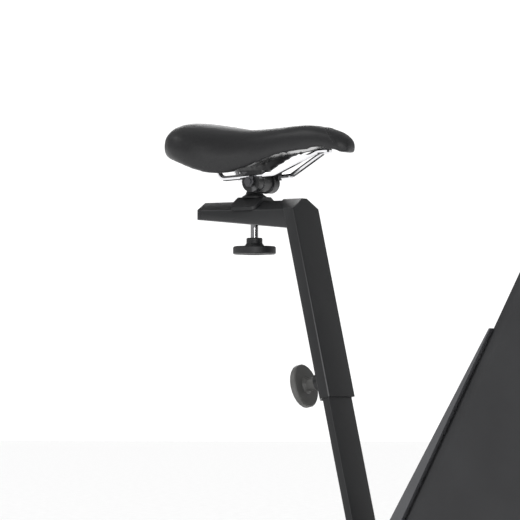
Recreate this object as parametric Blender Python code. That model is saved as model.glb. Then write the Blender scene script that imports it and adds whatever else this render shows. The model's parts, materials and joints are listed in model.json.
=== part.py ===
"""Upright exercise bike: +X forward, +Y left, +Z up, origin on the floor under its middle.

Every sub-part is one closed solid with its own name and material. Sizes are in metres.
"""
import math

import bmesh
import bpy
from mathutils import Matrix, Vector

# ---- overall layout -------------------------------------------------------------------------
HALF_LENGTH = 0.550          # from the middle to the ends of the base
STABILISER_SPAN = 0.480      # length of each stabiliser tube, along Y
STABILISER_HEIGHT = 0.062    # centre of the stabilisers above the floor
SEAT_LEAN = math.radians(12.6)
SLEEVE_FOOT_X = -0.120       # front face of the seat sleeve at its lower end
SLEEVE_FOOT_Z = 0.640
RIDGE_Z = 0.8965             # top of the seat sleeve's head
MAST_LEAN = math.radians(28.0)
CRANK_X = -0.050
CRANK_Z = 0.330
FLYWHEEL_X = 0.235
FLYWHEEL_Z = 0.330
GAP = 0.0003                 # clearance between pieces that touch
RUNNING_GAP = 0.0005         # clearance between pieces that turn or slide

# ---- tubes ----------------------------------------------------------------------------------
WALL = 0.0020
SLEEVE_WIDTH = 0.066
SLEEVE_SIDE = 0.0154
SLEEVE_DEPTH = 0.0275
SLEEVE_REAR_FLAT = 0.024
SLEEVE_CORNER = 0.003
LINER_WALL = 0.0008
LINER_LENGTH = 0.060
ROOF_SLOPE = math.tan(math.radians(27.5))
RIDGE_FLAT = 0.012
POST_INSERTION = 0.115
BASE_BEAM_WIDTH = 0.060
BASE_BEAM_HEIGHT = 0.040
STABILISER_RADIUS = 0.025
CAP_RADIUS = 0.027
CAP_LENGTH = 0.022
MAST_WIDTH = 0.050
MAST_DEPTH = 0.034
MAST_LENGTH = 0.700
HANDLEBAR_RADIUS = 0.0127

# ---- saddle beam, carriage and clamp ---------------------------------------------------------
BEAM_LENGTH = 0.148
BEAM_STEP = 0.002            # the beam's ridge lies this far under the head's
BEAM_FRONT_WIDTH = 0.0644
BEAM_REAR_WIDTH = 0.0535
BEAM_FRONT_SIDE = 0.0245
BEAM_REAR_SIDE = 0.0125
BEAM_CAP = 0.006
CLAMP_SETBACK = 0.066        # from the head's front edge to the saddle clamp
SCREW_SETBACK = 0.076
CLAMP_Z = 0.919
CARRIAGE_LENGTH = 0.040
CARRIAGE_WIDTH = 0.064
CARRIAGE_EDGE = 0.004
CARRIAGE_TRAVEL = 0.030
STUB_RADIUS = 0.011
SCREW_RADIUS = 0.005
KNOB_RADIUS = 0.028
KNOB_THICKNESS = 0.0105
KNOB_HUB_RADIUS = 0.0105
KNOB_HUB_LENGTH = 0.011
SCREW_EXPOSED = 0.017
DISC_RADIUS = 0.0135
RAIL_RADIUS = 0.0035
RAIL_SPACING = 0.044

# ---- saddle ----------------------------------------------------------------------------------
SADDLE_LENGTH = 0.260
SADDLE_NOSE = 0.1385         # nose tip ahead of the clamp
SADDLE_WIDTH = 0.158
SADDLE_NOSE_WIDTH = 0.042

# ---- drive -----------------------------------------------------------------------------------
SHELL_RADIUS = 0.0225
SHELL_LENGTH = 0.068
BEARING_RADIUS = 0.0192
BEARING_WIDTH = 0.012
AXLE_RADIUS = 0.0085
CRANK_LENGTH = 0.170
CRANK_INNER = 0.064          # inner face of a crank arm from the middle plane
CRANK_THICKNESS = 0.014
PEDAL_LENGTH = 0.096
PEDAL_WIDTH = 0.092
PEDAL_HEIGHT = 0.024
SPINDLE_RADIUS = 0.006
PULLEY_OFFSET = -0.043       # middle of the belt line along Y
PULLEY_WIDTH = 0.012
CRANK_PULLEY_RADIUS = 0.085
FLYWHEEL_PULLEY_RADIUS = 0.0255
BELT_THICKNESS = 0.0025
FLYWHEEL_RADIUS = 0.160
FLYWHEEL_WIDTH = 0.018
FLYWHEEL_AXLE_RADIUS = 0.0075
PLATE_OFFSET = 0.0245        # inner face of a flywheel plate from the middle plane
PLATE_THICKNESS = 0.004
PIVOT_RADIUS = 0.004
BRAKE_SPAN = 0.186           # from the flywheel's centre to the brake pivot
BRAKE_ANGLE = math.radians(20.0)

# ---- covers ----------------------------------------------------------------------------------
SHROUD_HALF_WIDTH = 0.055
SHROUD_WALL = 0.003
REAR_LOBE_RADIUS = 0.118
FRONT_LOBE_RADIUS = 0.212
SHROUD_TOP_Z = 0.880
SHROUD_EDGE_X = 0.0565       # rear edge of the cover at the height below
SHROUD_EDGE_Z = 0.594
TRIM_TOP_Z = 0.7235
TRIM_WIDE = 0.010
TRIM_NARROW = 0.002

# ---- handlebar and console -------------------------------------------------------------------
BAR_RISE = 0.810             # from the crank axis to the handlebar, along the mast
POST_WIDTH = MAST_WIDTH - 2 * (0.002 + RUNNING_GAP)
POST_DEPTH = MAST_DEPTH - 2 * (0.002 + RUNNING_GAP)
GRIP_RADIUS = 0.0165
GRIP_LENGTH = 0.085
CONSOLE_WIDTH = 0.150
CONSOLE_HEIGHT = 0.110
CONSOLE_DEPTH = 0.026


# ---- helpers ---------------------------------------------------------------------------------
def clear_scene():
    for item in list(bpy.data.objects):
        bpy.data.objects.remove(item, do_unlink=True)


def finish(name, colour, roughness, metallic=0.0):
    """One Principled material."""
    material = bpy.data.materials.new(name)
    material.use_nodes = True
    shader = material.node_tree.nodes["Principled BSDF"]
    shader.inputs["Base Color"].default_value = (*colour, 1.0)
    shader.inputs["Roughness"].default_value = roughness
    shader.inputs["Metallic"].default_value = metallic
    return material


def part_from(bm, name, material=None, smooth=0.0):
    """Turn a bmesh into a named object; smooth is the angle under which edges are rounded."""
    bmesh.ops.recalc_face_normals(bm, faces=bm.faces)
    if bm.calc_volume(signed=True) < 0:
        bmesh.ops.reverse_faces(bm, faces=bm.faces)
    mesh = bpy.data.meshes.new(name)
    bm.to_mesh(mesh)
    bm.free()
    part = bpy.data.objects.new(name, mesh)
    bpy.context.collection.objects.link(part)
    if smooth:
        mesh.shade_smooth()
        mesh.set_sharp_from_angle(angle=math.radians(smooth))
    if material:
        mesh.materials.append(material)
    return part


def bake(part):
    """Apply a part's modifiers to its mesh."""
    bpy.context.view_layer.update()
    evaluated = part.evaluated_get(bpy.context.evaluated_depsgraph_get())
    mesh = bpy.data.meshes.new_from_object(evaluated)
    part.modifiers.clear()
    part.data = mesh
    return part


def combine(part, tools, operation="DIFFERENCE"):
    """Cut the tools from a part, or weld them to it, and remove the tools."""
    for tool in tools:
        modifier = part.modifiers.new("combine", "BOOLEAN")
        modifier.operation = operation
        modifier.solver = "EXACT"
        modifier.object = tool
        bake(part)
        bpy.data.objects.remove(tool, do_unlink=True)
    return part


def frame_at(origin, across, up):
    """A local frame: x along across, y along up, z along their normal."""
    x_axis = Vector(across).normalized()
    y_axis = Vector(up).normalized()
    z_axis = x_axis.cross(y_axis)
    turn = Matrix((x_axis, y_axis, z_axis)).transposed().to_4x4()
    return Matrix.Translation(Vector(origin)) @ turn


def along_y(x, z, y=0.0):
    """Local x runs along world X, local y along world Z, local z towards -Y."""
    return frame_at((x, y, z), (1, 0, 0), (0, 0, 1))


def prism(name, outline, start, end, frame, material=None, smooth=0.0):
    """Extrude a flat outline from start to end along the frame's z."""
    bm = bmesh.new()
    corners = [bm.verts.new((x, y, start)) for x, y in outline]
    face = bm.faces.new(corners)
    swept = bmesh.ops.extrude_face_region(bm, geom=[face])
    raised = [item for item in swept["geom"] if isinstance(item, bmesh.types.BMVert)]
    bmesh.ops.translate(bm, verts=raised, vec=(0, 0, end - start))
    bm.transform(frame)
    return part_from(bm, name, material, smooth)


def turned(name, profile, frame, material=None, steps=20, smooth=35.0, closed=False):
    """Spin a profile of (radius, height) points round the frame's z."""
    bm = bmesh.new()
    points = [bm.verts.new((radius, 0, height)) for radius, height in profile]
    edges = [bm.edges.new(pair) for pair in zip(points, points[1:])]
    if closed:
        edges.append(bm.edges.new((points[-1], points[0])))
    bmesh.ops.spin(bm, geom=points + edges, axis=(0, 0, 1), cent=(0, 0, 0),
                   angle=math.tau, steps=steps, use_merge=True)
    bmesh.ops.remove_doubles(bm, verts=bm.verts, dist=1e-6)
    bm.transform(frame)
    return part_from(bm, name, material, smooth)


def disc(name, radius, start, end, frame, material=None, steps=20):
    return turned(name, [(0, start), (radius, start), (radius, end), (0, end)], frame,
                  material, steps)


def ring(name, inner, outer, start, end, frame, material=None, steps=20):
    return turned(name, [(inner, start), (outer, start), (outer, end), (inner, end)], frame,
                  material, steps, closed=True)


def box(name, low, high, material=None):
    outline = rectangle(high[0] - low[0], high[1] - low[1])
    middle = ((low[0] + high[0]) / 2, (low[1] + high[1]) / 2, 0)
    return prism(name, outline, low[2], high[2], frame_at(middle, (1, 0, 0), (0, 1, 0)), material)


def loft(name, sections, material=None, smooth=0.0):
    """Skin rings of points that all have the same count, and close both ends."""
    bm = bmesh.new()
    rings = [[bm.verts.new(point) for point in section] for section in sections]
    for one, two in zip(rings, rings[1:]):
        for index in range(len(one)):
            after = (index + 1) % len(one)
            bm.faces.new((one[index], one[after], two[after], two[index]))
    bm.faces.new(rings[0])
    bm.faces.new(list(reversed(rings[-1])))
    return part_from(bm, name, material, smooth)


def rectangle(width, height):
    return [(-width / 2, -height / 2), (width / 2, -height / 2),
            (width / 2, height / 2), (-width / 2, height / 2)]


def arc(centre, radius, start, end, steps):
    """Points on an arc, angles in degrees."""
    angles = [math.radians(start + (end - start) * step / steps) for step in range(steps + 1)]
    return [(centre[0] + radius * math.cos(a), centre[1] + radius * math.sin(a)) for a in angles]


def rounded(corners, radius, steps=4, closed=True):
    """Replace corners of a path or an outline by arcs of the given radius."""
    points = [Vector(corner) for corner in corners]
    result = []
    count = len(points)
    for index, here in enumerate(points):
        if not closed and index in (0, count - 1):
            result.append(here)
            continue
        to_last = (points[index - 1] - here)
        to_next = (points[(index + 1) % count] - here)
        half = to_last.angle(to_next) / 2
        reach = min(radius / math.tan(half), 0.49 * to_last.length, 0.49 * to_next.length)
        start = here + to_last.normalized() * reach
        end = here + to_next.normalized() * reach
        middle = here + (to_last.normalized() + to_next.normalized()).normalized() * (
            reach / math.cos(half))
        arm, other = start - middle, end - middle
        sweep = arm.angle(other)
        for step in range(steps + 1):
            share = step / steps
            weight = math.sin((1 - share) * sweep) / math.sin(sweep)
            other_weight = math.sin(share * sweep) / math.sin(sweep)
            result.append(middle + arm * weight + other * other_weight)
    return [tuple(point) for point in result]


def inset(outline, distance):
    """Move an anticlockwise outline's sides inwards by the distance."""
    points = [Vector(point) for point in outline]
    moved = []
    for index, here in enumerate(points):
        before = (here - points[index - 1]).normalized()
        after = (points[(index + 1) % len(points)] - here).normalized()
        normal = Vector((-before.y, before.x))
        other = Vector((-after.y, after.x))
        bisector = (normal + other).normalized()
        moved.append(tuple(here + bisector * (distance / bisector.dot(normal))))
    return moved


def bent_tube(name, path, radius, material=None, sides=12, bore=0.0):
    """Sweep a round section along a path of points, with flat ends and an optional bore."""
    def swept(label, size, extra):
        points = [Vector(point) for point in path]
        points[0] = points[0] + (points[0] - points[1]).normalized() * extra
        points[-1] = points[-1] + (points[-1] - points[-2]).normalized() * extra
        sections = []
        normal = None
        for index, here in enumerate(points):
            ahead = points[min(index + 1, len(points) - 1)]
            behind = points[max(index - 1, 0)]
            tangent = (ahead - behind).normalized()
            if normal is None:
                normal = tangent.orthogonal().normalized()
            normal = (normal - tangent * normal.dot(tangent)).normalized()
            side = tangent.cross(normal)
            turns = [math.tau * step / sides for step in range(sides)]
            sections.append([here + (normal * math.cos(t) + side * math.sin(t)) * size
                             for t in turns])
        return loft(label, sections, material if label == name else None, 50.0)

    tube = swept(name, radius, 0.0)
    if bore:
        combine(tube, [swept("bore", bore, 0.002)])
    return tube


def clip(part, point, normal):
    """Cut off what lies beyond a plane, on the side the normal points to, and cap the cut."""
    bm = bmesh.new()
    bm.from_mesh(part.data)
    geometry = bm.verts[:] + bm.edges[:] + bm.faces[:]
    cut = bmesh.ops.bisect_plane(bm, geom=geometry, dist=1e-7, plane_co=point,
                                 plane_no=normal, clear_outer=True)
    rim = [item for item in cut["geom_cut"] if isinstance(item, bmesh.types.BMEdge)]
    bmesh.ops.edgenet_fill(bm, edges=rim)
    bmesh.ops.recalc_face_normals(bm, faces=bm.faces)
    bm.to_mesh(part.data)
    bm.free()
    return part


def mirrored(part, name):
    """A copy of a part on the other side of the middle plane."""
    mesh = part.data.copy()
    mesh.transform(Matrix.Scale(-1, 4, (0, 1, 0)))
    mesh.flip_normals()
    mesh.name = name
    copy = bpy.data.objects.new(name, mesh)
    bpy.context.collection.objects.link(copy)
    return copy


def along(table, x):
    """Read a smooth curve through (x, value) points."""
    if x <= table[0][0]:
        return table[0][1]
    for index in range(len(table) - 1):
        (x0, v0), (x1, v1) = table[index], table[index + 1]
        if x <= x1:
            before = table[max(index - 1, 0)]
            after = table[min(index + 2, len(table) - 1)]
            span = x1 - x0
            slope_0 = (v1 - before[1]) / (x1 - before[0]) * span
            slope_1 = (after[1] - v0) / (after[0] - x0) * span
            t = (x - x0) / span
            return ((2 * t ** 3 - 3 * t ** 2 + 1) * v0 + (t ** 3 - 2 * t ** 2 + t) * slope_0
                    + (3 * t ** 2 - 2 * t ** 3) * v1 + (t ** 3 - t ** 2) * slope_1)
    return table[-1][1]


# ---- seat post, sleeve and beam --------------------------------------------------------------
POST_FRONT = Vector((math.cos(SEAT_LEAN), 0, math.sin(SEAT_LEAN)))
POST_UP = Vector((-math.sin(SEAT_LEAN), 0, math.cos(SEAT_LEAN)))
SLEEVE_FOOT = Vector((SLEEVE_FOOT_X, 0, SLEEVE_FOOT_Z))
POST_FRAME = frame_at(SLEEVE_FOOT, POST_FRONT, (0, 1, 0))
POST_INSET = WALL + GAP + LINER_WALL + RUNNING_GAP
HEAD_X = SLEEVE_FOOT_X - math.tan(SEAT_LEAN) * (RIDGE_Z - SLEEVE_FOOT_Z)
BEAM_END_X = HEAD_X - BEAM_LENGTH
BEAM_RIDGE_Z = RIDGE_Z - BEAM_STEP
CLAMP_X = HEAD_X - CLAMP_SETBACK
SCREW_X = HEAD_X - SCREW_SETBACK
HEIGHT_KNOB_RISE = 0.0255
HEIGHT_KNOB_FACE = 0.0495     # near face of the knob's disc, behind the post's front
HEIGHT_KNOB_HUB = 0.0085
SCREW_HOLE = SCREW_RADIUS + 0.0006
BOSS_RADIUS = 0.011
BOSS_LENGTH = 0.006
KNOB_EDGE = 0.0015


def sleeve_outline(distance):
    half = SLEEVE_WIDTH / 2
    flat = SLEEVE_REAR_FLAT / 2
    corners = [(0, -half), (0, half), (-SLEEVE_SIDE, half), (-SLEEVE_DEPTH, flat),
               (-SLEEVE_DEPTH, -flat), (-SLEEVE_SIDE, -half)]
    if distance:
        corners = inset(corners, distance)
    return rounded(corners, max(SLEEVE_CORNER - distance / 2, 0.001), 3)


def height_knob_frame():
    origin = SLEEVE_FOOT + POST_UP * HEIGHT_KNOB_RISE
    return frame_at(origin, POST_UP, (0, 1, 0))


def beam_share(x):
    return (HEAD_X - x) / BEAM_LENGTH


def beam_side(x):
    """Half-width, eave height and underside height of the beam at x."""
    share = beam_share(x)
    half = (BEAM_FRONT_WIDTH + (BEAM_REAR_WIDTH - BEAM_FRONT_WIDTH) * share) / 2
    eave = BEAM_RIDGE_Z - (half - RIDGE_FLAT / 2) * ROOF_SLOPE
    under = eave - (BEAM_FRONT_SIDE + (BEAM_REAR_SIDE - BEAM_FRONT_SIDE) * share)
    return half, eave, under


def beam_section(x, distance=0.0):
    half, eave, under = beam_side(x)
    flat = RIDGE_FLAT / 2
    corners = [(-half, under), (half, under), (half, eave), (flat, BEAM_RIDGE_Z),
               (-flat, BEAM_RIDGE_Z), (-half, eave)]
    if distance:
        corners = inset(corners, distance)
    return [(x, y, z) for y, z in rounded(corners, 0.002, 2)]


def beam_slot(name, width):
    outline = rounded(rectangle(2 * CARRIAGE_TRAVEL + 2 * SCREW_RADIUS + 0.003, width),
                      width / 2 - 0.0001, 5)
    frame = frame_at((SCREW_X, 0, 0), (1, 0, 0), (0, 1, 0))
    return prism(name, outline, BEAM_RIDGE_Z - 0.060, BEAM_RIDGE_Z + 0.010, frame)


def make_seat_sleeve(steel):
    sleeve = prism("seat_sleeve", sleeve_outline(0), 0, 0.30, POST_FRAME, steel, 30.0)
    roof = math.atan(ROOF_SLOPE)
    clip(sleeve, (HEAD_X, 0, RIDGE_Z), (0, 0, 1))
    for side in (1, -1):
        edge = (HEAD_X, side * RIDGE_FLAT / 2, RIDGE_Z)
        clip(sleeve, edge, (0, side * math.sin(roof), math.cos(roof)))
    start = HEAD_X - 0.006
    beam_end = BEAM_END_X + BEAM_CAP
    beam = loft("beam", [beam_section(start), beam_section(beam_end)])
    boss = disc("boss", BOSS_RADIUS, SLEEVE_DEPTH - WALL / 2, SLEEVE_DEPTH + BOSS_LENGTH,
                height_knob_frame())
    combine(sleeve, [beam, boss], "UNION")
    bore_top = (BEAM_RIDGE_Z - 0.0285 - SLEEVE_FOOT_Z) / math.cos(SEAT_LEAN)
    bore = prism("bore", sleeve_outline(WALL), -0.01, bore_top, POST_FRAME)
    hollow_start = HEAD_X - 0.034
    hollow = loft("hollow", [beam_section(hollow_start, WALL),
                             beam_section(beam_end - 0.004, WALL)])
    hole = disc("hole", SCREW_HOLE, SLEEVE_DEPTH - 0.006, SLEEVE_DEPTH + 0.012,
                height_knob_frame(), steps=20)
    combine(sleeve, [bore, hollow, beam_slot("slot", 2 * SCREW_RADIUS + 0.001), hole])
    return sleeve


def make_beam_end_cap(plastic):
    """Plastic plug that closes the beam, with its corners rounded in plan."""
    inner_x = BEAM_END_X + BEAM_CAP - GAP
    half = beam_side(inner_x)[0]
    plate = loft("beam_end_cap", [beam_section(inner_x), beam_section(BEAM_END_X)],
                 plastic, 30.0)
    plan = rounded([(inner_x + 0.001, -half - 0.001), (inner_x + 0.001, half + 0.001),
                    (BEAM_END_X, half + 0.001), (BEAM_END_X, -half - 0.001)], 0.0055, 5)
    keep = prism("keep", plan, 0.80, 0.92, frame_at((0, 0, 0), (1, 0, 0), (0, 1, 0)))
    combine(plate, [keep], "INTERSECT")
    plug_end = inner_x + 0.012
    plug = loft("plug", [beam_section(plug_end, WALL + GAP),
                         beam_section(inner_x - 0.001, WALL + GAP)])
    return combine(plate, [plug], "UNION")


def make_sleeve_liner(plastic):
    start = 0.001
    liner = prism("sleeve_liner", sleeve_outline(WALL + GAP), start, LINER_LENGTH,
                  POST_FRAME, plastic, 30.0)
    bore = prism("bore", sleeve_outline(WALL + GAP + LINER_WALL), start - 0.01,
                 LINER_LENGTH + 0.01, POST_FRAME)
    hole = disc("hole", SCREW_HOLE, 0.015, 0.035, height_knob_frame(), steps=20)
    return combine(liner, [bore, hole])


def make_inner_post(steel):
    foot = (CRANK_Z + 0.004 - SLEEVE_FOOT_Z) / math.cos(SEAT_LEAN) - 0.004
    post = prism("inner_post", sleeve_outline(POST_INSET), foot, POST_INSERTION,
                 POST_FRAME, steel, 30.0)
    bore = prism("bore", sleeve_outline(POST_INSET + WALL), foot - 0.01,
                 POST_INSERTION + 0.01, POST_FRAME)
    shell = disc("shell", SHELL_RADIUS + GAP, -0.05, 0.05, along_y(CRANK_X, CRANK_Z), steps=24)
    return combine(post, [bore, shell])


def knob_profile(start, hub_length, hub, radius, thickness, bore, bore_depth):
    """A turned knob: a blind bore, a hub with a flared foot and a round disc."""
    face = start + hub_length
    end = face + thickness
    edge = KNOB_EDGE
    return [(0, start + bore_depth), (bore, start + bore_depth), (bore, start),
            (hub - 0.001, start), (hub, start + 0.001), (hub, face - 0.004),
            (hub + 0.003, face), (radius - edge, face), (radius, face + edge),
            (radius, end - edge), (radius - edge, end), (radius * 0.55, end),
            (radius * 0.5, end - 0.001), (0, end - 0.001)]


def make_height_knob(plastic, chrome):
    frame = height_knob_frame()
    tip = SLEEVE_DEPTH - POST_INSET + GAP
    hub_start = SLEEVE_DEPTH + BOSS_LENGTH + RUNNING_GAP
    depth = 0.008
    profile = knob_profile(hub_start, HEIGHT_KNOB_FACE - hub_start, HEIGHT_KNOB_HUB,
                           KNOB_RADIUS + 0.0005, 0.0085, SCREW_RADIUS + GAP, depth)
    turned("height_knob", profile, frame, plastic, 24)
    disc("height_knob_screw", SCREW_RADIUS, tip, hub_start + depth - GAP, frame, chrome, 20)


def make_fore_aft_knob(plastic, chrome):
    under = beam_side(SCREW_X)[2]
    start = -(under - SCREW_EXPOSED)
    frame = frame_at((SCREW_X, 0, 0), (0, 1, 0), (1, 0, 0))
    depth = 0.007
    profile = knob_profile(start, KNOB_HUB_LENGTH, KNOB_HUB_RADIUS, KNOB_RADIUS,
                           KNOB_THICKNESS, SCREW_RADIUS + GAP, depth)
    turned("fore_aft_knob", profile, frame, plastic, 24)
    top = -(BEAM_RIDGE_Z + 0.0100)
    disc("fore_aft_screw", SCREW_RADIUS, top, start + depth - GAP, frame, chrome, 20)


# ---- carriage, clamp and rails ---------------------------------------------------------------
CORE_HALF = 0.0105           # half-width of the clamp's middle piece
JAW_OUTER = 0.0255
JAW_HALF_LENGTH = 0.0165
JAW_TOP_Z = CLAMP_Z + 0.0145
RAIL_Z = CLAMP_Z + 0.0075    # rail height at the clamp
RAIL_SLOPE = 0.05
RAIL_REAR = -0.053           # ends of the rails and their bend, from the clamp
RAIL_BEND = 0.034
RAIL_FRONT = 0.103
BOLT_RADIUS = 0.004
NUT_THICKNESS = 0.005
NUT_RADIUS = 0.0075


def rail_z(x):
    return RAIL_Z + RAIL_SLOPE * (x - CLAMP_X)


def make_carriage(steel):
    """A gull-shaped plate on the beam's roof, with the stub for the saddle clamp."""
    margin = 0.001               # cut away again by the rounded plan
    half = CARRIAGE_WIDTH / 2 + margin
    length = CARRIAGE_LENGTH / 2 + margin
    flat = RIDGE_FLAT / 2
    ridge = BEAM_RIDGE_Z + RUNNING_GAP
    edge = ridge - (half - flat) * ROOF_SLOPE
    outline = [(-half, edge), (-flat, ridge), (flat, ridge), (half, edge),
               (half, edge + CARRIAGE_EDGE), (0.016, ridge + 0.0010), (0.009, ridge + 0.005),
               (-0.009, ridge + 0.005), (-0.016, ridge + 0.0010), (-half, edge + CARRIAGE_EDGE)]
    frame = frame_at((SCREW_X, 0, 0), (0, 1, 0), (0, 0, 1))
    plate = prism("seat_carriage", outline, -length, length, frame, steel, 30.0)
    plan = rounded(rectangle(CARRIAGE_LENGTH, CARRIAGE_WIDTH), 0.009, 5)
    keep = prism("keep", plan, 0.86, 0.92, frame_at((SCREW_X, 0, 0), (1, 0, 0), (0, 1, 0)))
    combine(plate, [keep], "INTERSECT")
    foot = ridge + 0.0035
    stub = turned("stub", [(0, foot), (0.0165, foot), (0.0160, foot + 0.0025),
                           (0.0115, foot + 0.0055), (0.0100, foot + 0.0100),
                           (0.0100, CLAMP_Z + 0.009), (0, CLAMP_Z + 0.009)],
                  frame_at((SCREW_X, 0, 0), (1, 0, 0), (0, 1, 0)), steps=20)
    core = disc("core", 0.0120, -CORE_HALF, CORE_HALF, along_y(CLAMP_X, CLAMP_Z), steps=20)
    combine(plate, [stub, core], "UNION")
    screw = disc("screw", SCREW_RADIUS + GAP, 0.85, BEAM_RIDGE_Z + 0.0105,
                 frame_at((SCREW_X, 0, 0), (1, 0, 0), (0, 1, 0)), steps=20)
    bolt = disc("bolt", BOLT_RADIUS + GAP, -0.03, 0.03, along_y(CLAMP_X, CLAMP_Z), steps=20)
    return combine(plate, [screw, bolt])


def rail_path():
    """Both rails as one bent wire, from the right rear end round the nose to the left."""
    half = RAIL_SPACING / 2
    rear, front = RAIL_REAR, RAIL_FRONT
    nose_z = base_floor(front) - RAIL_RADIUS - 0.0008
    side = [(CLAMP_X + rear, -half, base_floor(rear) - 0.0016),
            (CLAMP_X + rear + 0.006, -half, rail_z(CLAMP_X + rear + 0.006)),
            (CLAMP_X + RAIL_BEND, -half, rail_z(CLAMP_X + RAIL_BEND)),
            (CLAMP_X + front - 0.012, -0.0085, nose_z - 0.001),
            (CLAMP_X + front, -0.0060, nose_z)]
    other = [(x, -y, z) for x, y, z in reversed(side)]
    return rounded(side + other, 0.010, 4, closed=False)


def make_rails(chrome):
    return bent_tube("saddle_rails", rail_path(), RAIL_RADIUS, chrome, 8)


def make_clamp_jaw(steel):
    """Serrated disc and rail jaw on the right; the left one is its mirror image."""
    start = CORE_HALF + GAP
    jaw = disc("clamp_jaw_right", DISC_RADIUS, start, JAW_OUTER, along_y(CLAMP_X, CLAMP_Z),
               steel, 28)
    block = box("block", (CLAMP_X - JAW_HALF_LENGTH, -JAW_OUTER + 0.0001, CLAMP_Z + 0.0035),
                (CLAMP_X + JAW_HALF_LENGTH, -start - 0.0060, JAW_TOP_Z))
    combine(jaw, [block], "UNION")
    reach = JAW_HALF_LENGTH + 0.01
    half = RAIL_SPACING / 2
    channel = bent_tube("channel", [(CLAMP_X - reach, -half, rail_z(CLAMP_X - reach)),
                                    (CLAMP_X + reach, -half, rail_z(CLAMP_X + reach))],
                        RAIL_RADIUS + GAP, sides=12)
    bolt = disc("bolt", BOLT_RADIUS + GAP, 0, 0.05, along_y(CLAMP_X, CLAMP_Z), steps=20)
    combine(jaw, [channel, bolt])
    return mirrored(jaw, "clamp_jaw_left")


def make_clamp_bolt(chrome):
    """Bolt through the clamp with a hexagon nut at each end."""
    start = JAW_OUTER + GAP
    bolt = disc("clamp_bolt", BOLT_RADIUS, -start - 0.007, start + 0.007,
                along_y(CLAMP_X, CLAMP_Z), chrome, 20)
    nuts = [disc("nut", NUT_RADIUS, side * start, side * (start + NUT_THICKNESS),
                 along_y(CLAMP_X, CLAMP_Z), steps=6) for side in (1, -1)]
    return combine(bolt, nuts, "UNION")


# ---- saddle ----------------------------------------------------------------------------------
SADDLE_REAR = SADDLE_NOSE - SADDLE_LENGTH
WIDE = SADDLE_WIDTH / 2
NOSE = SADDLE_NOSE_WIDTH / 2
HALF_WIDTHS = [(-0.1215, 0.42 * WIDE), (-0.112, 0.78 * WIDE), (-0.092, WIDE), (-0.065, 0.975 * WIDE),
               (-0.030, 0.73 * WIDE), (0.010, 1.75 * NOSE), (0.050, 1.20 * NOSE),
               (0.100, NOSE), (0.128, 0.86 * NOSE), (0.1385, 0.50 * NOSE)]
TOPS = [(-0.1215, 0.974), (-0.108, 0.992), (-0.090, 0.9995), (-0.065, 0.9965), (-0.037, 0.9915),
        (-0.009, 0.9875), (0.029, 0.9890), (0.075, 0.9920), (0.115, 0.9845), (0.130, 0.9775),
        (0.1385, 0.9700)]
EDGES = [(-0.1215, 0.9560), (-0.105, 0.9500), (-0.085, 0.9430), (-0.065, 0.9345), (-0.045, 0.9290),
         (-0.025, 0.9285), (-0.009, 0.9340), (0.020, 0.9450), (0.038, 0.9515), (0.060, 0.9550),
         (0.085, 0.9585), (0.097, 0.9590), (0.110, 0.9570), (0.125, 0.9535), (0.1385, 0.9530)]
RECESSES = [(-0.1215, 0.0005), (-0.110, 0.0005), (-0.100, 0.006), (-0.030, 0.018), (0.044, 0.008),
            (0.114, 0.007), (0.124, 0.0005), (0.1385, 0.0005)]
BULGE_SHARE = 0.36           # height of the widest line, as a share of the side
TUCK_SHARE = 0.82            # how far the side draws in below that line
RECESS_SHARE = 0.70
CEILING_SHARE = 0.66
BASE_THICKNESS = 0.004


def cover_section(station):
    half = along(HALF_WIDTHS, station)
    top = along(TOPS, station)
    low = along(EDGES, station)
    recess = along(RECESSES, station)
    widest = low + (top - low) * BULGE_SHARE
    lower = []
    for step in range(3):
        angle = math.pi / 2 * (3 - step) / 3
        lower.append((half * (TUCK_SHARE + (1 - TUCK_SHARE) * math.cos(angle)),
                      widest - (widest - low) * math.sin(angle)))
    points = list(lower)
    steps = 12
    for step in range(steps + 1):
        angle = math.pi * step / steps
        across = math.copysign(abs(math.cos(angle)) ** 0.8, math.cos(angle))
        points.append((half * across, widest + (top - widest) * math.sin(angle) ** 0.75))
    points += [(-y, z) for y, z in reversed(lower)]
    points += [(-half * RECESS_SHARE, low + 0.0002), (-half * CEILING_SHARE, low + recess),
               (half * CEILING_SHARE, low + recess), (half * RECESS_SHARE, low + 0.0002)]
    return [(CLAMP_X + station, y, z) for y, z in points]


STATIONS = [SADDLE_REAR + SADDLE_LENGTH * step / 22 for step in range(23)]


def base_floor(station):
    """Height of the underside of the saddle's base."""
    return along(EDGES, station) + along(RECESSES, station) - GAP - BASE_THICKNESS


def make_saddle_cover(vinyl):
    return loft("saddle_cover", [cover_section(station) for station in STATIONS], vinyl, 50.0)


def make_saddle_base(plastic):
    sections = []
    for station in STATIONS[2:20]:
        half = along(HALF_WIDTHS, station) * CEILING_SHARE - 0.0008
        low = base_floor(station)
        top = low + BASE_THICKNESS
        ring_points = [(-half, top), (-half + 0.002, low), (half - 0.002, low), (half, top)]
        sections.append([(CLAMP_X + station, y, z) for y, z in ring_points])
    return loft("saddle_base", sections, plastic, 50.0)


# ---- floor frame -----------------------------------------------------------------------------
WHEEL_RADIUS = 0.026
WHEEL_WIDTH = 0.022
WHEEL_INNER = 0.200          # inner face of a wheel from the middle plane
WHEEL_REACH = 0.056          # wheel axis ahead of the front stabiliser
WHEEL_PIN_RADIUS = 0.004
BRACKET_THICKNESS = 0.004
FOOT_INSET = 0.035
FOOT_RADIUS = 0.022
FOOT_THICKNESS = 0.010
STUD_RADIUS = 0.005
REAR_X = CAP_RADIUS - HALF_LENGTH
WHEEL_X = HALF_LENGTH - WHEEL_RADIUS
FRONT_X = WHEEL_X - WHEEL_REACH
FOOT_Y = STABILISER_SPAN / 2 - FOOT_INSET
BEAM_TOP_Z = STABILISER_HEIGHT + BASE_BEAM_HEIGHT / 2
STRUT_DEPTH = 0.044
STRUT_WIDTH = 0.054
BORE_RADIUS = STABILISER_RADIUS - WALL


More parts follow.
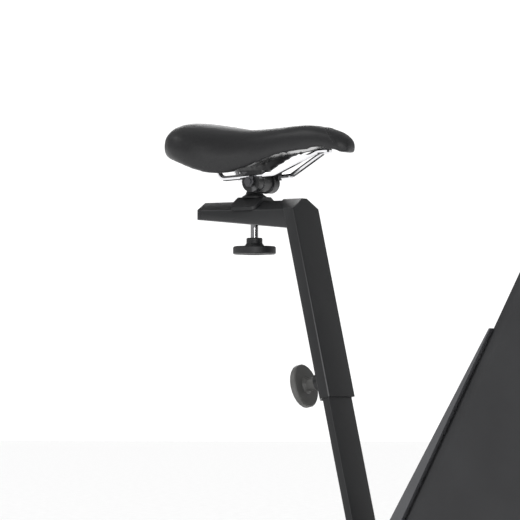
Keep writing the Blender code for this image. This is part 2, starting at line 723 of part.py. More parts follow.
def upright(x, y=0.0, z=0.0):
    """Local z runs straight up from the given point."""
    return frame_at((x, y, z), (1, 0, 0), (0, 1, 0))


def make_base_beam(steel):
    frame = frame_at((0, 0, STABILISER_HEIGHT), (0, 1, 0), (0, 0, 1))
    outline = rounded(rectangle(BASE_BEAM_WIDTH, BASE_BEAM_HEIGHT), 0.005, 3)
    beam = prism("base_beam", outline, REAR_X, FRONT_X, frame, steel, 30.0)
    bore = prism("bore", inset(outline, WALL), REAR_X - 0.01, FRONT_X + 0.01, frame)
    copes = [disc("cope", STABILISER_RADIUS + GAP, -0.05, 0.05,
                  along_y(x, STABILISER_HEIGHT), steps=28) for x in (REAR_X, FRONT_X)]
    return combine(beam, [bore] + copes)


def make_base_strut(steel):
    outline = rounded(rectangle(STRUT_DEPTH, STRUT_WIDTH), 0.004, 3)
    top = CRANK_Z - 0.010
    strut = prism("base_strut", outline, BEAM_TOP_Z + GAP, top, upright(CRANK_X), steel, 30.0)
    bore = prism("bore", inset(outline, WALL), BEAM_TOP_Z - 0.01, top + 0.01, upright(CRANK_X))
    shell = disc("shell", SHELL_RADIUS + GAP, -0.05, 0.05, along_y(CRANK_X, CRANK_Z), steps=24)
    return combine(strut, [bore, shell])


def make_stabiliser(name, x, steel, wheels):
    frame = along_y(x, STABILISER_HEIGHT)
    half = STABILISER_SPAN / 2
    tube = disc(name, STABILISER_RADIUS, -half, half, frame, steel, 28)
    if wheels:
        for side in (1, -1):
            start = WHEEL_INNER - RUNNING_GAP - BRACKET_THICKNESS
            plate = prism("bracket", capsule((x, STABILISER_HEIGHT), (WHEEL_X, STABILISER_HEIGHT),
                                             0.013, 0.010),
                          side * start, side * (start + BRACKET_THICKNESS), along_y(0, 0))
            end = WHEEL_INNER + WHEEL_WIDTH + RUNNING_GAP
            outward = frame_at((WHEEL_X, 0, STABILISER_HEIGHT), (side, 0, 0), (0, 0, 1))
            pin = turned("pin", [(0, start + 0.001), (WHEEL_PIN_RADIUS, start + 0.001),
                                 (WHEEL_PIN_RADIUS, end), (WHEEL_PIN_RADIUS + 0.003, end),
                                 (WHEEL_PIN_RADIUS + 0.003, end + 0.003), (0, end + 0.003)],
                         outward, steps=16)
            combine(tube, [plate, pin], "UNION")
    bore = disc("bore", BORE_RADIUS, -half - 0.01, half + 0.01, frame, steps=28)
    holes = [disc("hole", STUD_RADIUS + GAP, 0.02, STABILISER_HEIGHT - 0.001, upright(x, y), steps=16)
             for y in (FOOT_Y, -FOOT_Y)]
    return combine(tube, holes + [bore])


def make_end_cap(name, x, side, rubber):
    """Domed plug in the end of a stabiliser."""
    end = STABILISER_SPAN / 2
    plug = BORE_RADIUS - GAP
    profile = [(0, end - 0.016), (plug, end - 0.016), (plug, end + GAP), (CAP_RADIUS, end + GAP),
               (CAP_RADIUS, end + CAP_LENGTH * 0.5), (CAP_RADIUS * 0.9, end + CAP_LENGTH * 0.85),
               (CAP_RADIUS * 0.7, end + CAP_LENGTH), (0, end + CAP_LENGTH)]
    outward = 1 if side == "right" else -1
    frame = frame_at((x, 0, STABILISER_HEIGHT), (outward, 0, 0), (0, 0, 1))
    return turned(name, profile, frame, rubber, 16)


def make_foot(name, x, y, rubber):
    """Levelling foot: a round pad, a lock nut and a stud that screws into the stabiliser."""
    under = STABILISER_HEIGHT - STABILISER_RADIUS
    profile = [(0, 0), (FOOT_RADIUS, 0), (FOOT_RADIUS, FOOT_THICKNESS - 0.002),
               (FOOT_RADIUS - 0.003, FOOT_THICKNESS), (0.009, FOOT_THICKNESS), (0.009, FOOT_THICKNESS + 0.007),
               (STUD_RADIUS, FOOT_THICKNESS + 0.007), (STUD_RADIUS, under + 0.012),
               (0, under + 0.012)]
    return turned(name, profile, upright(x, y), rubber, 14)


def make_wheel(name, side, rubber):
    outward = 1 if side == "right" else -1
    frame = frame_at((WHEEL_X, 0, STABILISER_HEIGHT), (outward, 0, 0), (0, 0, 1))
    bore = WHEEL_PIN_RADIUS + RUNNING_GAP
    start, end = WHEEL_INNER, WHEEL_INNER + WHEEL_WIDTH
    profile = [(bore, start), (WHEEL_RADIUS - 0.002, start), (WHEEL_RADIUS, start + 0.003),
               (WHEEL_RADIUS, end - 0.003), (WHEEL_RADIUS - 0.002, end), (bore, end)]
    return turned(name, profile, frame, rubber, 18, closed=True)


def capsule(first, second, first_radius, second_radius, steps=8):
    """Anticlockwise outline round two points, with a round end at each."""
    start, end = Vector(first), Vector(second)
    heading = math.degrees(math.atan2(end.y - start.y, end.x - start.x))
    outline = arc(tuple(start), first_radius, heading + 90, heading + 270, steps)
    return outline + arc(tuple(end), second_radius, heading - 90, heading + 90, steps)


# ---- crank and pedals ------------------------------------------------------------------------
CRANK_ANGLE = math.radians(-35.0)
CRANK_OUTER = CRANK_INNER + CRANK_THICKNESS
PEDAL_START = CRANK_OUTER + 0.006
PEDAL_END = PEDAL_START + PEDAL_WIDTH
BEARING_START = SHELL_LENGTH / 2 - 0.001 - BEARING_WIDTH


def pedal_centre(side):
    """Place of a pedal's spindle in the side view."""
    sign = 1 if side == "right" else -1
    return (CRANK_X + sign * CRANK_LENGTH * math.cos(CRANK_ANGLE),
            CRANK_Z + sign * CRANK_LENGTH * math.sin(CRANK_ANGLE))


def make_crank_set(steel, chrome, dark_plastic):
    centre = along_y(CRANK_X, CRANK_Z)
    ring("bottom_bracket", BEARING_RADIUS + GAP, SHELL_RADIUS, -SHELL_LENGTH / 2,
         SHELL_LENGTH / 2, centre, steel, 24)
    disc("crank_axle", AXLE_RADIUS, -CRANK_OUTER + 0.001, CRANK_OUTER - 0.001, centre, chrome, 20)
    for side, sign in (("right", 1), ("left", -1)):
        ring("crank_bearing_" + side, AXLE_RADIUS + GAP, BEARING_RADIUS, sign * BEARING_START,
             sign * (BEARING_START + BEARING_WIDTH), centre, chrome, 20)
        pedal = pedal_centre(side)
        arm = prism("crank_" + side, capsule((CRANK_X, CRANK_Z), pedal, 0.019, 0.014, 10),
                    sign * CRANK_INNER, sign * CRANK_OUTER, along_y(0, 0), chrome, 40.0)
        spindle = disc("spindle", SPINDLE_RADIUS, sign * (CRANK_INNER + 0.001),
                       sign * (PEDAL_END - 0.004), along_y(*pedal), steps=20)
        combine(arm, [spindle], "UNION")
        combine(arm, [disc("axle", AXLE_RADIUS + GAP, -0.1, 0.1, centre, steps=20)])
        make_pedal("pedal_" + side, sign, pedal, dark_plastic)


def make_pedal(name, sign, centre, plastic):
    """Flat platform with two windows beside the barrel that turns on the spindle."""
    frame = along_y(*centre)
    outline = rounded(rectangle(PEDAL_LENGTH, PEDAL_HEIGHT), 0.006, 3)
    pedal = prism(name, outline, sign * PEDAL_START, sign * PEDAL_END, frame, plastic, 40.0)
    bore = disc("bore", SPINDLE_RADIUS + RUNNING_GAP, 0.0, sign * (PEDAL_END - 0.0035), frame,
                steps=20)
    window = (PEDAL_LENGTH / 2 - 0.009 - 0.012)
    cutters = [bore]
    for end in (1, -1):
        middle = centre[0] + end * (0.012 + window / 2)
        low = sorted((-sign * (PEDAL_START + 0.011), -sign * (PEDAL_END - 0.011)))
        cutters.append(box("window", (middle - window / 2, low[0], centre[1] - 0.03),
                           (middle + window / 2, low[1], centre[1] + 0.03)))
    return combine(pedal, cutters)


# ---- belt drive and flywheel -----------------------------------------------------------------
FLYWHEEL_BEARING_RADIUS = 0.013
PLATE_OUTER = PLATE_OFFSET + PLATE_THICKNESS
HUB_RADIUS = 0.018
PIVOT_X = FLYWHEEL_X + BRAKE_SPAN * math.cos(BRAKE_ANGLE)
PIVOT_Z = FLYWHEEL_Z + BRAKE_SPAN * math.sin(BRAKE_ANGLE)


def make_pulleys(metal):
    frame = along_y(CRANK_X, CRANK_Z, PULLEY_OFFSET)
    half = PULLEY_WIDTH / 2
    bore = AXLE_RADIUS + GAP
    rim = CRANK_PULLEY_RADIUS - 0.010
    profile = [(bore, -0.008), (HUB_RADIUS, -0.008), (HUB_RADIUS, -0.002), (rim, -0.002),
               (rim, -half), (CRANK_PULLEY_RADIUS, -half), (CRANK_PULLEY_RADIUS, half),
               (rim, half), (rim, 0.002), (HUB_RADIUS, 0.002), (HUB_RADIUS, 0.008),
               (bore, 0.008)]
    turned("crank_pulley", profile, frame, metal, 26, closed=True)
    ring("flywheel_pulley", FLYWHEEL_AXLE_RADIUS + GAP, FLYWHEEL_PULLEY_RADIUS, -half, half,
         along_y(FLYWHEEL_X, FLYWHEEL_Z, PULLEY_OFFSET), metal, 20)


def belt_outline(extra):
    """Outline round both pulleys at the given distance from their rims."""
    large = CRANK_PULLEY_RADIUS + extra
    small = FLYWHEEL_PULLEY_RADIUS + extra
    span = math.hypot(FLYWHEEL_X - CRANK_X, FLYWHEEL_Z - CRANK_Z)
    heading = math.degrees(math.atan2(FLYWHEEL_Z - CRANK_Z, FLYWHEEL_X - CRANK_X))
    contact = math.degrees(math.acos((large - small) / span))
    outline = arc((CRANK_X, CRANK_Z), large, heading + contact, heading + 360 - contact, 26)
    return outline + arc((FLYWHEEL_X, FLYWHEEL_Z), small, heading - contact,
                         heading + contact, 12)


def make_belt(rubber):
    half = PULLEY_WIDTH / 2 - 0.001
    start, end = -PULLEY_OFFSET - half, -PULLEY_OFFSET + half
    belt = prism("drive_belt", belt_outline(GAP + BELT_THICKNESS), start, end, along_y(0, 0),
                 rubber, 30.0)
    inside = prism("inside", belt_outline(GAP), start - 0.01, end + 0.01, along_y(0, 0))
    return combine(belt, [inside])


def make_flywheel(iron, chrome):
    frame = along_y(FLYWHEEL_X, FLYWHEEL_Z)
    half = FLYWHEEL_WIDTH / 2
    bore = FLYWHEEL_AXLE_RADIUS + GAP
    rim = FLYWHEEL_RADIUS - 0.034
    profile = [(bore, -0.020), (0.020, -0.020), (0.022, -0.004), (rim, -0.004),
               (rim + 0.004, -half), (FLYWHEEL_RADIUS, -half), (FLYWHEEL_RADIUS, half),
               (rim + 0.004, half), (rim, 0.004), (0.022, 0.004), (0.020, 0.020), (bore, 0.020)]
    turned("flywheel", profile, frame, iron, 28, closed=True)
    left_end = -PLATE_OUTER - 0.003
    disc("flywheel_axle", FLYWHEEL_AXLE_RADIUS, left_end,
         -PULLEY_OFFSET + PULLEY_WIDTH / 2 + 0.001, frame, chrome, 20)
    for side, sign in (("right", 1), ("left", -1)):
        ring("flywheel_bearing_" + side, FLYWHEEL_AXLE_RADIUS + GAP, FLYWHEEL_BEARING_RADIUS,
             sign * PLATE_OFFSET, sign * PLATE_OUTER, frame, chrome, 20)


def make_flywheel_plates(steel):
    """Two plates that stand on the base beam and hold the flywheel and the brake pivot."""
    foot = BEAM_TOP_Z + GAP
    outline = [(FLYWHEEL_X - 0.045, foot), (FLYWHEEL_X + 0.120, foot),
               (PIVOT_X + 0.013, PIVOT_Z - 0.006), (PIVOT_X + 0.004, PIVOT_Z + 0.013),
               (PIVOT_X - 0.014, PIVOT_Z + 0.006), (FLYWHEEL_X + 0.026, FLYWHEEL_Z + 0.012),
               (FLYWHEEL_X, FLYWHEEL_Z + 0.026), (FLYWHEEL_X - 0.024, FLYWHEEL_Z + 0.010)]
    for side, sign in (("right", 1), ("left", -1)):
        plate = prism("flywheel_plate_" + side, rounded(outline, 0.008, 3), sign * PLATE_OFFSET,
                      sign * PLATE_OUTER, along_y(0, 0), steel, 30.0)
        seat = disc("seat", FLYWHEEL_BEARING_RADIUS + GAP, -0.1, 0.1,
                    along_y(FLYWHEEL_X, FLYWHEEL_Z), steps=20)
        pivot = disc("pivot", PIVOT_RADIUS + GAP, -0.1, 0.1, along_y(PIVOT_X, PIVOT_Z), steps=16)
        combine(plate, [seat, pivot])


def sector(inner, outer, start, end, steps=8):
    """Outline of a part of a ring round the flywheel's axis, angles in degrees."""
    centre = (FLYWHEEL_X, FLYWHEEL_Z)
    return arc(centre, outer, start, end, steps) + arc(centre, inner, end, start, steps)


def make_magnet_bracket(steel, chrome):
    """Channel that straddles the flywheel's rim and swings on a pin between the plates."""
    near, far = FLYWHEEL_WIDTH / 2 + 0.003, FLYWHEEL_WIDTH / 2 + 0.010
    first, last = 34.0, 72.0
    inner, bridge, outer = FLYWHEEL_RADIUS - 0.024, FLYWHEEL_RADIUS + 0.0065, FLYWHEEL_RADIUS + 0.016
    bracket = prism("magnet_bracket", sector(bridge, outer, first, last), -far, far,
                    along_y(0, 0), steel, 30.0)
    pieces = []
    aim = arc((FLYWHEEL_X, FLYWHEEL_Z), (bridge + outer) / 2, first + 3, first + 4, 1)[0]
    for sign in (1, -1):
        pieces.append(prism("cheek", sector(inner, bridge + 0.002, first + 1, last - 1),
                            sign * near, sign * far, along_y(0, 0)))
        pieces.append(prism("arm", capsule((PIVOT_X, PIVOT_Z), aim, 0.009, 0.0045),
                            sign * near, sign * far, along_y(0, 0)))
    combine(bracket, pieces, "UNION")
    bore = disc("bore", PIVOT_RADIUS + GAP, -0.1, 0.1, along_y(PIVOT_X, PIVOT_Z), steps=16)
    combine(bracket, [bore])
    disc("magnet_pivot", PIVOT_RADIUS, -PLATE_OUTER - 0.001, PLATE_OUTER + 0.001,
         along_y(PIVOT_X, PIVOT_Z), chrome, 16)


# ---- mast, handlebar and console -------------------------------------------------------------
MAST_WALL = 0.002
MAST_FRONT = Vector((math.cos(MAST_LEAN), 0, -math.sin(MAST_LEAN)))
MAST_UP = Vector((math.sin(MAST_LEAN), 0, math.cos(MAST_LEAN)))
MAST_SETBACK = SHROUD_WALL + 0.005 + MAST_DEPTH / 2
MAST_FOOT = Vector((SHROUD_EDGE_X + MAST_SETBACK / math.cos(MAST_LEAN)
                    - math.tan(MAST_LEAN) * (SHROUD_EDGE_Z - CRANK_Z), 0, CRANK_Z))
MAST_FRAME = frame_at(MAST_FOOT, MAST_FRONT, (0, 1, 0))
BAR_KNOB_RISE = MAST_LENGTH - 0.028
POST_START = 0.470
BAR = MAST_FOOT + MAST_UP * BAR_RISE
HINGE_RISE = 0.062
HINGE = BAR + MAST_UP * HINGE_RISE
HINGE_RADIUS = 0.009
HINGE_PIN_RADIUS = 0.004
KNUCKLE_HALF = 0.010
LUG_OUTER = 0.017
CONSOLE_LEAN = math.radians(40.0)
CONSOLE_UP = Vector((math.sin(CONSOLE_LEAN), 0, math.cos(CONSOLE_LEAN)))
CONSOLE_BACK = Vector((math.cos(CONSOLE_LEAN), 0, -math.sin(CONSOLE_LEAN)))
HOUSING_RISE = 0.660
HOUSING_DEPTH = 0.022
DIAL_RADIUS = 0.021


def mast_knob_frame(rise, sign):
    """Local z points out of the mast's front face (sign 1) or its rear face (sign -1)."""
    origin = MAST_FOOT + MAST_UP * rise
    if sign > 0:
        return frame_at(origin, (0, 1, 0), MAST_UP)
    return frame_at(origin, MAST_UP, (0, 1, 0))


def make_mast(steel):
    outline = rounded(rectangle(MAST_DEPTH, MAST_WIDTH), 0.006, 4)
    mast = prism("front_mast", outline, -0.03, MAST_LENGTH, MAST_FRAME, steel, 30.0)
    clip(mast, (0, 0, CRANK_Z + 0.002), (0, 0, -1))
    clip(mast, SLEEVE_FOOT - POST_FRONT * (POST_INSET - GAP), -POST_FRONT)
    boss = disc("boss", BOSS_RADIUS, MAST_DEPTH / 2 - MAST_WALL / 2, MAST_DEPTH / 2 + BOSS_LENGTH,
                mast_knob_frame(BAR_KNOB_RISE, 1))
    combine(mast, [boss], "UNION")
    bore = prism("bore", inset(outline, MAST_WALL), -0.05, MAST_LENGTH + 0.01, MAST_FRAME)
    shell = disc("shell", SHELL_RADIUS + GAP, -0.05, 0.05, along_y(CRANK_X, CRANK_Z), steps=24)
    hole = disc("hole", SCREW_HOLE, MAST_DEPTH / 2 - 0.005, MAST_DEPTH / 2 + 0.012,
                mast_knob_frame(BAR_KNOB_RISE, 1), steps=20)
    return combine(mast, [bore, shell, hole])


def make_handlebar_knob(plastic):
    """Clamp knob moulded on its screw, whose tip bears on the handlebar post."""
    start = MAST_DEPTH / 2 + BOSS_LENGTH + RUNNING_GAP
    tip = POST_DEPTH / 2 + GAP
    profile = knob_profile(start, 0.012, KNOB_HUB_RADIUS, KNOB_RADIUS * 0.9, 0.010,
                           SCREW_RADIUS, tip - start)
    turned("handlebar_knob", profile, mast_knob_frame(BAR_KNOB_RISE, 1), plastic, 24)


def make_resistance(plastic):
    """Housing on the mast's rear face with the dial that sets the brake."""
    back = MAST_DEPTH / 2 + GAP
    outline = rounded(rectangle(0.044, 0.038), 0.006, 3)
    frame = mast_knob_frame(HOUSING_RISE, -1)
    housing = prism("resistance_housing", outline, back, back + HOUSING_DEPTH, frame, plastic, 40.0)
    shaft = 0.005
    seat = disc("seat", shaft + RUNNING_GAP, back + 0.008, back + HOUSING_DEPTH + 0.01, frame,
                steps=20)
    combine(housing, [seat])
    start = back + HOUSING_DEPTH + RUNNING_GAP
    end = start + 0.022
    profile = [(0, start - 0.012), (shaft, start - 0.012), (shaft, start),
               (DIAL_RADIUS, start), (DIAL_RADIUS, end - 0.003), (DIAL_RADIUS - 0.003, end),
               (0, end)]
    turned("resistance_knob", profile, frame, plastic, 24)


def make_handlebar_post(steel):
    outline = rounded(rectangle(POST_DEPTH, POST_WIDTH), 0.0045, 4)
    top = BAR_RISE - 0.004
    post = prism("handlebar_post", outline, POST_START, top, MAST_FRAME, steel, 30.0)
    bore = prism("bore", inset(outline, MAST_WALL), POST_START - 0.01, BAR_RISE - 0.030,
                 MAST_FRAME)
    collar = disc("collar", HANDLEBAR_RADIUS + 0.008, -0.026, 0.026, along_y(BAR.x, BAR.z))
    neck = prism("neck", capsule((BAR.x, BAR.z), (HINGE.x, HINGE.z), 0.012, HINGE_RADIUS),
                 -KNUCKLE_HALF, KNUCKLE_HALF, along_y(0, 0))
    combine(post, [bore])
    pin = disc("pin", HINGE_PIN_RADIUS, -LUG_OUTER - 0.001, LUG_OUTER + 0.001,
               along_y(HINGE.x, HINGE.z), steps=14)
    combine(post, [neck, pin, collar], "UNION")
    bar_hole = disc("bar", HANDLEBAR_RADIUS + GAP, -0.1, 0.1, along_y(BAR.x, BAR.z), steps=20)
    return combine(post, [bar_hole])


def grip_line():
    """Ends of the straight stretch of the right grip."""
    outer = BAR + Vector((0.125, -0.200, 0.035))
    end = BAR + Vector((-0.010, -0.233, 0.022))
    return outer, end


def make_handlebar(steel, foam):
    outer, end = grip_line()
    side = [tuple(end), tuple(outer), (BAR.x, -0.120, BAR.z)]
    other = [(x, -y, z) for x, y, z in reversed(side)]
    path = rounded(side + other, 0.022, 4, closed=False)
    bent_tube("handlebar", path, HANDLEBAR_RADIUS, steel, 12)
    heading = (end - outer).normalized()
    across = heading.orthogonal().normalized()
    frame = frame_at(end, across, heading.cross(across))
    bore = HANDLEBAR_RADIUS + GAP
    profile = [(0, GAP), (bore, GAP), (bore, -GRIP_LENGTH), (GRIP_RADIUS - 0.002, -GRIP_LENGTH),
               (GRIP_RADIUS, -GRIP_LENGTH + 0.002), (GRIP_RADIUS, 0.002),
               (GRIP_RADIUS - 0.004, 0.006), (0, 0.006)]
    grip = turned("grip_right", profile, frame, foam, 16)
    mirrored(grip, "grip_left")


def make_console(plastic):
    centre = HINGE + CONSOLE_UP * 0.040 - CONSOLE_BACK * (HINGE_RADIUS + 0.008 + CONSOLE_DEPTH / 2)
    frame = frame_at(centre, (0, 1, 0), CONSOLE_UP)
    outline = rounded(rectangle(CONSOLE_WIDTH, CONSOLE_HEIGHT), 0.016, 4)
    half = CONSOLE_DEPTH / 2
    sections = []
    for height, step in ((-half, 0.004), (-half + 0.003, 0), (half - 0.006, 0), (half, 0.008)):
        shape = inset(outline, step) if step else outline
        sections.append([frame @ Vector((x, y, height)) for x, y in shape])
    console = loft("console", sections, plastic, 30.0)
    inside = HINGE - CONSOLE_BACK * (HINGE_RADIUS + 0.016)
    lugs = [prism("lug", capsule((HINGE.x, HINGE.z), (inside.x, inside.z), HINGE_RADIUS, 0.008),
                  sign * (KNUCKLE_HALF + RUNNING_GAP), sign * LUG_OUTER, along_y(0, 0))
            for sign in (1, -1)]
    combine(console, lugs, "UNION")
    hole = disc("hole", HINGE_PIN_RADIUS + GAP, -0.05, 0.05, along_y(HINGE.x, HINGE.z), steps=16)
    return combine(console, [hole])


# ---- covers ----------------------------------------------------------------------------------
COVER_GAP = 0.0015           # room round each tube that leaves the covers
AXLE_OPENING = 0.015
CORNER_TOP = 0.027


def cover_edge_x(z):
    return SHROUD_EDGE_X + math.tan(MAST_LEAN) * (z - SHROUD_EDGE_Z)


def lobe_join():
    """Point where the straight rear edge meets the round lobe over the crank."""
    centre = Vector((CRANK_X, CRANK_Z))
    start = Vector((SHROUD_EDGE_X, SHROUD_EDGE_Z))
    heading = Vector((math.sin(MAST_LEAN), math.cos(MAST_LEAN)))
    foot = start + heading * (centre - start).dot(heading)
    reach = math.sqrt(REAR_LOBE_RADIUS ** 2 - (foot - centre).length_squared)
    return foot + heading * reach


def cover_outline():
    """Side view of the covers: a rear lobe, a front lobe and a leaning tower for the mast."""
    rear, front = (CRANK_X, CRANK_Z), (FLYWHEEL_X, FLYWHEEL_Z)
    join = lobe_join()
    join_angle = math.degrees(math.atan2(join.y - CRANK_Z, join.x - CRANK_X))
    lean = (REAR_LOBE_RADIUS - FRONT_LOBE_RADIUS) / (FLYWHEEL_X - CRANK_X)
    bottom = -90 + math.degrees(math.asin(lean))
    top_rear = (cover_edge_x(SHROUD_TOP_Z), SHROUD_TOP_Z)
    top_front = (top_rear[0] + 0.084, SHROUD_TOP_Z - 0.016)
    reach = Vector((top_front[0] - FLYWHEEL_X, top_front[1] - FLYWHEEL_Z))
    tangent = math.degrees(math.atan2(reach.y, reach.x)
                           - math.acos(FRONT_LOBE_RADIUS / reach.length))
    lobe = arc(front, FRONT_LOBE_RADIUS, bottom, tangent, 16)
    tower = rounded([lobe[-1], top_front, top_rear, tuple(join)], CORNER_TOP, 4, closed=False)
    rest = arc(rear, REAR_LOBE_RADIUS, join_angle, bottom + 360, 14)
    return lobe[:-1] + [tuple(point) for point in tower[:-1]] + rest


def make_shroud(side, plastic):
    sign = 1 if side == "right" else -1
    outline = cover_outline()

    def layers(steps):
        return [[(x, -sign * height, z) for x, z in (inset(outline, step) if step else outline)]
                for height, step in steps]

    width = SHROUD_HALF_WIDTH
    skin = layers([(GAP / 2, 0), (width - 0.009, 0), (width - 0.003, 0.006), (width, 0.018)])
    wall = SHROUD_WALL
    room = layers([(-0.010, wall), (width - 0.009 - wall, wall),
                   (width - 0.003 - wall, wall + 0.006), (width - wall, wall + 0.017)])
    shroud = loft("shroud_" + side, skin, plastic, 25.0)
    cuts = [loft("room", room)]
    post_hole = rounded(inset(sleeve_outline(POST_INSET), -COVER_GAP), 0.001, 1)
    cuts.append(prism("post", post_hole, -0.30, -0.10, POST_FRAME))
    mast_hole = rectangle(MAST_DEPTH + 2 * COVER_GAP, MAST_WIDTH + 2 * COVER_GAP)
    cuts.append(prism("mast", mast_hole, 0.50, 0.72, MAST_FRAME))
    strut_hole = rectangle(STRUT_DEPTH + 2 * COVER_GAP, STRUT_WIDTH + 2 * COVER_GAP)
    cuts.append(prism("strut", strut_hole, 0.12, CRANK_Z - 0.05, upright(CRANK_X)))
    plate = sorted((-sign * (PLATE_OFFSET - COVER_GAP), -sign * (PLATE_OUTER + COVER_GAP)))
    cuts.append(box("plate", (FLYWHEEL_X - 0.060, plate[0], BEAM_TOP_Z),
                    (FLYWHEEL_X + 0.150, plate[1], FLYWHEEL_Z - 0.10)))
    cuts.append(disc("axle", AXLE_OPENING, sign * 0.04, sign * 0.07, along_y(CRANK_X, CRANK_Z),
                     steps=24))
    return combine(shroud, cuts)


def make_rear_trim(plastic):
    """Wedge-shaped strip outside the covers' rear edge, widest at its lower end."""
    taper = (TRIM_WIDE - TRIM_NARROW) / (TRIM_TOP_Z - SHROUD_EDGE_Z)
    bottom_z = lobe_join().y + 0.014
    clearance = GAP / math.cos(MAST_LEAN)

    def edge(z, reach):
        return (cover_edge_x(z) - clearance - reach, z)

    low_reach = TRIM_WIDE + taper * (SHROUD_EDGE_Z - bottom_z)
    outline = [edge(bottom_z, 0), edge(TRIM_TOP_Z, 0), edge(TRIM_TOP_Z, TRIM_NARROW),
               edge(bottom_z, low_reach)]
    half = SHROUD_HALF_WIDTH - 0.0005
    return prism("rear_trim", outline, -half, half, along_y(0, 0), plastic, 30.0)


# ---- joints ----------------------------------------------------------------------------------
def hang(names, axis_name, point, parent=None):
    """Parent parts to an empty that sits on their joint's axis."""
    axis = bpy.data.objects.new(axis_name, None)
    bpy.context.collection.objects.link(axis)
    place = Vector(point)
    if parent:
        axis.parent = parent
        axis.location = place - parent.matrix_world.translation
    else:
        axis.location = place
    bpy.context.view_layer.update()
    for name in names:
        part = bpy.data.objects[name]
        part.parent = axis
        part.matrix_parent_inverse = axis.matrix_world.inverted()
    return axis


def hang_moving_parts():
    height_knob = SLEEVE_FOOT + POST_UP * HEIGHT_KNOB_RISE
    bar_knob = MAST_FOOT + MAST_UP * BAR_KNOB_RISE
    dial = MAST_FOOT + MAST_UP * HOUSING_RISE
    sleeve = hang(["seat_sleeve", "sleeve_liner", "beam_end_cap"], "axis_seat_height",
                  SLEEVE_FOOT)
    hang(["height_knob", "height_knob_screw"], "axis_height_knob", height_knob, sleeve)
    carriage = hang(["seat_carriage", "clamp_bolt"], "axis_seat_fore_aft",
                    (SCREW_X, 0, BEAM_RIDGE_Z), sleeve)
    hang(["fore_aft_knob", "fore_aft_screw"], "axis_fore_aft_knob",
         (SCREW_X, 0, BEAM_RIDGE_Z), carriage)
    hang(["clamp_jaw_right", "clamp_jaw_left", "saddle_rails", "saddle_base", "saddle_cover"],
         "axis_saddle_tilt", (CLAMP_X, 0, CLAMP_Z), carriage)
    crank = hang(["crank_axle", "crank_pulley", "crank_right", "crank_left"],
                 "axis_crank", (CRANK_X, 0, CRANK_Z))
    for side, sign in (("right", -1), ("left", 1)):
        x, z = pedal_centre(side)
        hang(["pedal_" + side], "axis_pedal_" + side, (x, sign * PEDAL_START, z), crank)
        hang(["transport_wheel_" + side], "axis_transport_wheel_" + side,
             (WHEEL_X, sign * WHEEL_INNER, STABILISER_HEIGHT))
    hang(["flywheel", "flywheel_axle", "flywheel_pulley"], "axis_flywheel",
         (FLYWHEEL_X, 0, FLYWHEEL_Z))
    hang(["magnet_bracket"], "axis_brake", (PIVOT_X, 0, PIVOT_Z))
    hang(["resistance_knob"], "axis_resistance", dial)
    bar = hang(["handlebar_post", "handlebar", "grip_right", "grip_left"],
               "axis_handlebar_height", BAR)
    hang(["handlebar_knob"], "axis_handlebar_knob", bar_knob)
    hang(["console"], "axis_console", HINGE, bar)
    for name, x, y in FEET:
        hang([name], "axis_" + name, (x, y, 0))


FEET = [("foot_rear_right", REAR_X, -FOOT_Y), ("foot_rear_left", REAR_X, FOOT_Y),
        ("foot_front_right", FRONT_X, -FOOT_Y), ("foot_front_left", FRONT_X, FOOT_Y)]


def build():
    clear_scene()
    black_steel = finish("black_steel", (0.035, 0.036, 0.038), 0.45, 0.3)
    dark_iron = finish("dark_iron", (0.10, 0.10, 0.11), 0.50, 0.9)
    chrome = finish("chrome", (0.80, 0.80, 0.82), 0.12, 1.0)
    black_plastic = finish("black_plastic", (0.030, 0.030, 0.032), 0.50)
    shroud_plastic = finish("shroud_plastic", (0.045, 0.046, 0.048), 0.55)
    trim_plastic = finish("trim_plastic", (0.070, 0.071, 0.074), 0.45)
    vinyl = finish("vinyl", (0.025, 0.025, 0.026), 0.42)
    rubber = finish("rubber", (0.022, 0.022, 0.022), 0.80)
    foam = finish("foam", (0.028, 0.028, 0.029), 0.95)

    make_base_beam(black_steel)
    make_base_strut(black_steel)
    make_stabiliser("rear_stabiliser", REAR_X, black_steel, False)
    make_stabiliser("front_stabiliser", FRONT_X, black_steel, True)
    for side in ("right", "left"):
        make_end_cap("rear_end_cap_" + side, REAR_X, side, rubber)
        make_end_cap("front_end_cap_" + side, FRONT_X, side, rubber)
        make_wheel("transport_wheel_" + side, side, rubber)
    for name, x, y in FEET:
        make_foot(name, x, y, rubber)

    make_crank_set(black_steel, chrome, black_plastic)
    make_pulleys(dark_iron)
    make_belt(rubber)
    make_flywheel(dark_iron, chrome)
    make_flywheel_plates(black_steel)
    make_magnet_bracket(dark_iron, chrome)

    make_inner_post(black_steel)
    make_seat_sleeve(black_steel)
    make_sleeve_liner(black_plastic)
    make_beam_end_cap(black_plastic)
    make_height_knob(black_plastic, chrome)
    make_fore_aft_knob(black_plastic, chrome)
    make_carriage(black_steel)
    make_clamp_jaw(black_steel)
    make_clamp_bolt(chrome)
    make_rails(chrome)
    make_saddle_base(black_plastic)
    make_saddle_cover(vinyl)

    make_mast(black_steel)
    make_handlebar_knob(black_plastic)
    make_resistance(black_plastic)
    make_handlebar_post(black_steel)
    make_handlebar(black_steel, foam)
    make_console(black_plastic)
    for side in ("right", "left"):
        make_shroud(side, shroud_plastic)
    make_rear_trim(trim_plastic)

    hang_moving_parts()


build()
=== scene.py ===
# %% [markdown]
# # Exercise bike
# The frame below brings in every solid of the bike in metres. It stays as it is: each solid
# gets a finish, and pieces whose surface needs more than a plain solid are built here.

# %% Load the frame
import json
import math

import bmesh
import bpy
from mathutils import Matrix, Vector
from mathutils.bvhtree import BVHTree


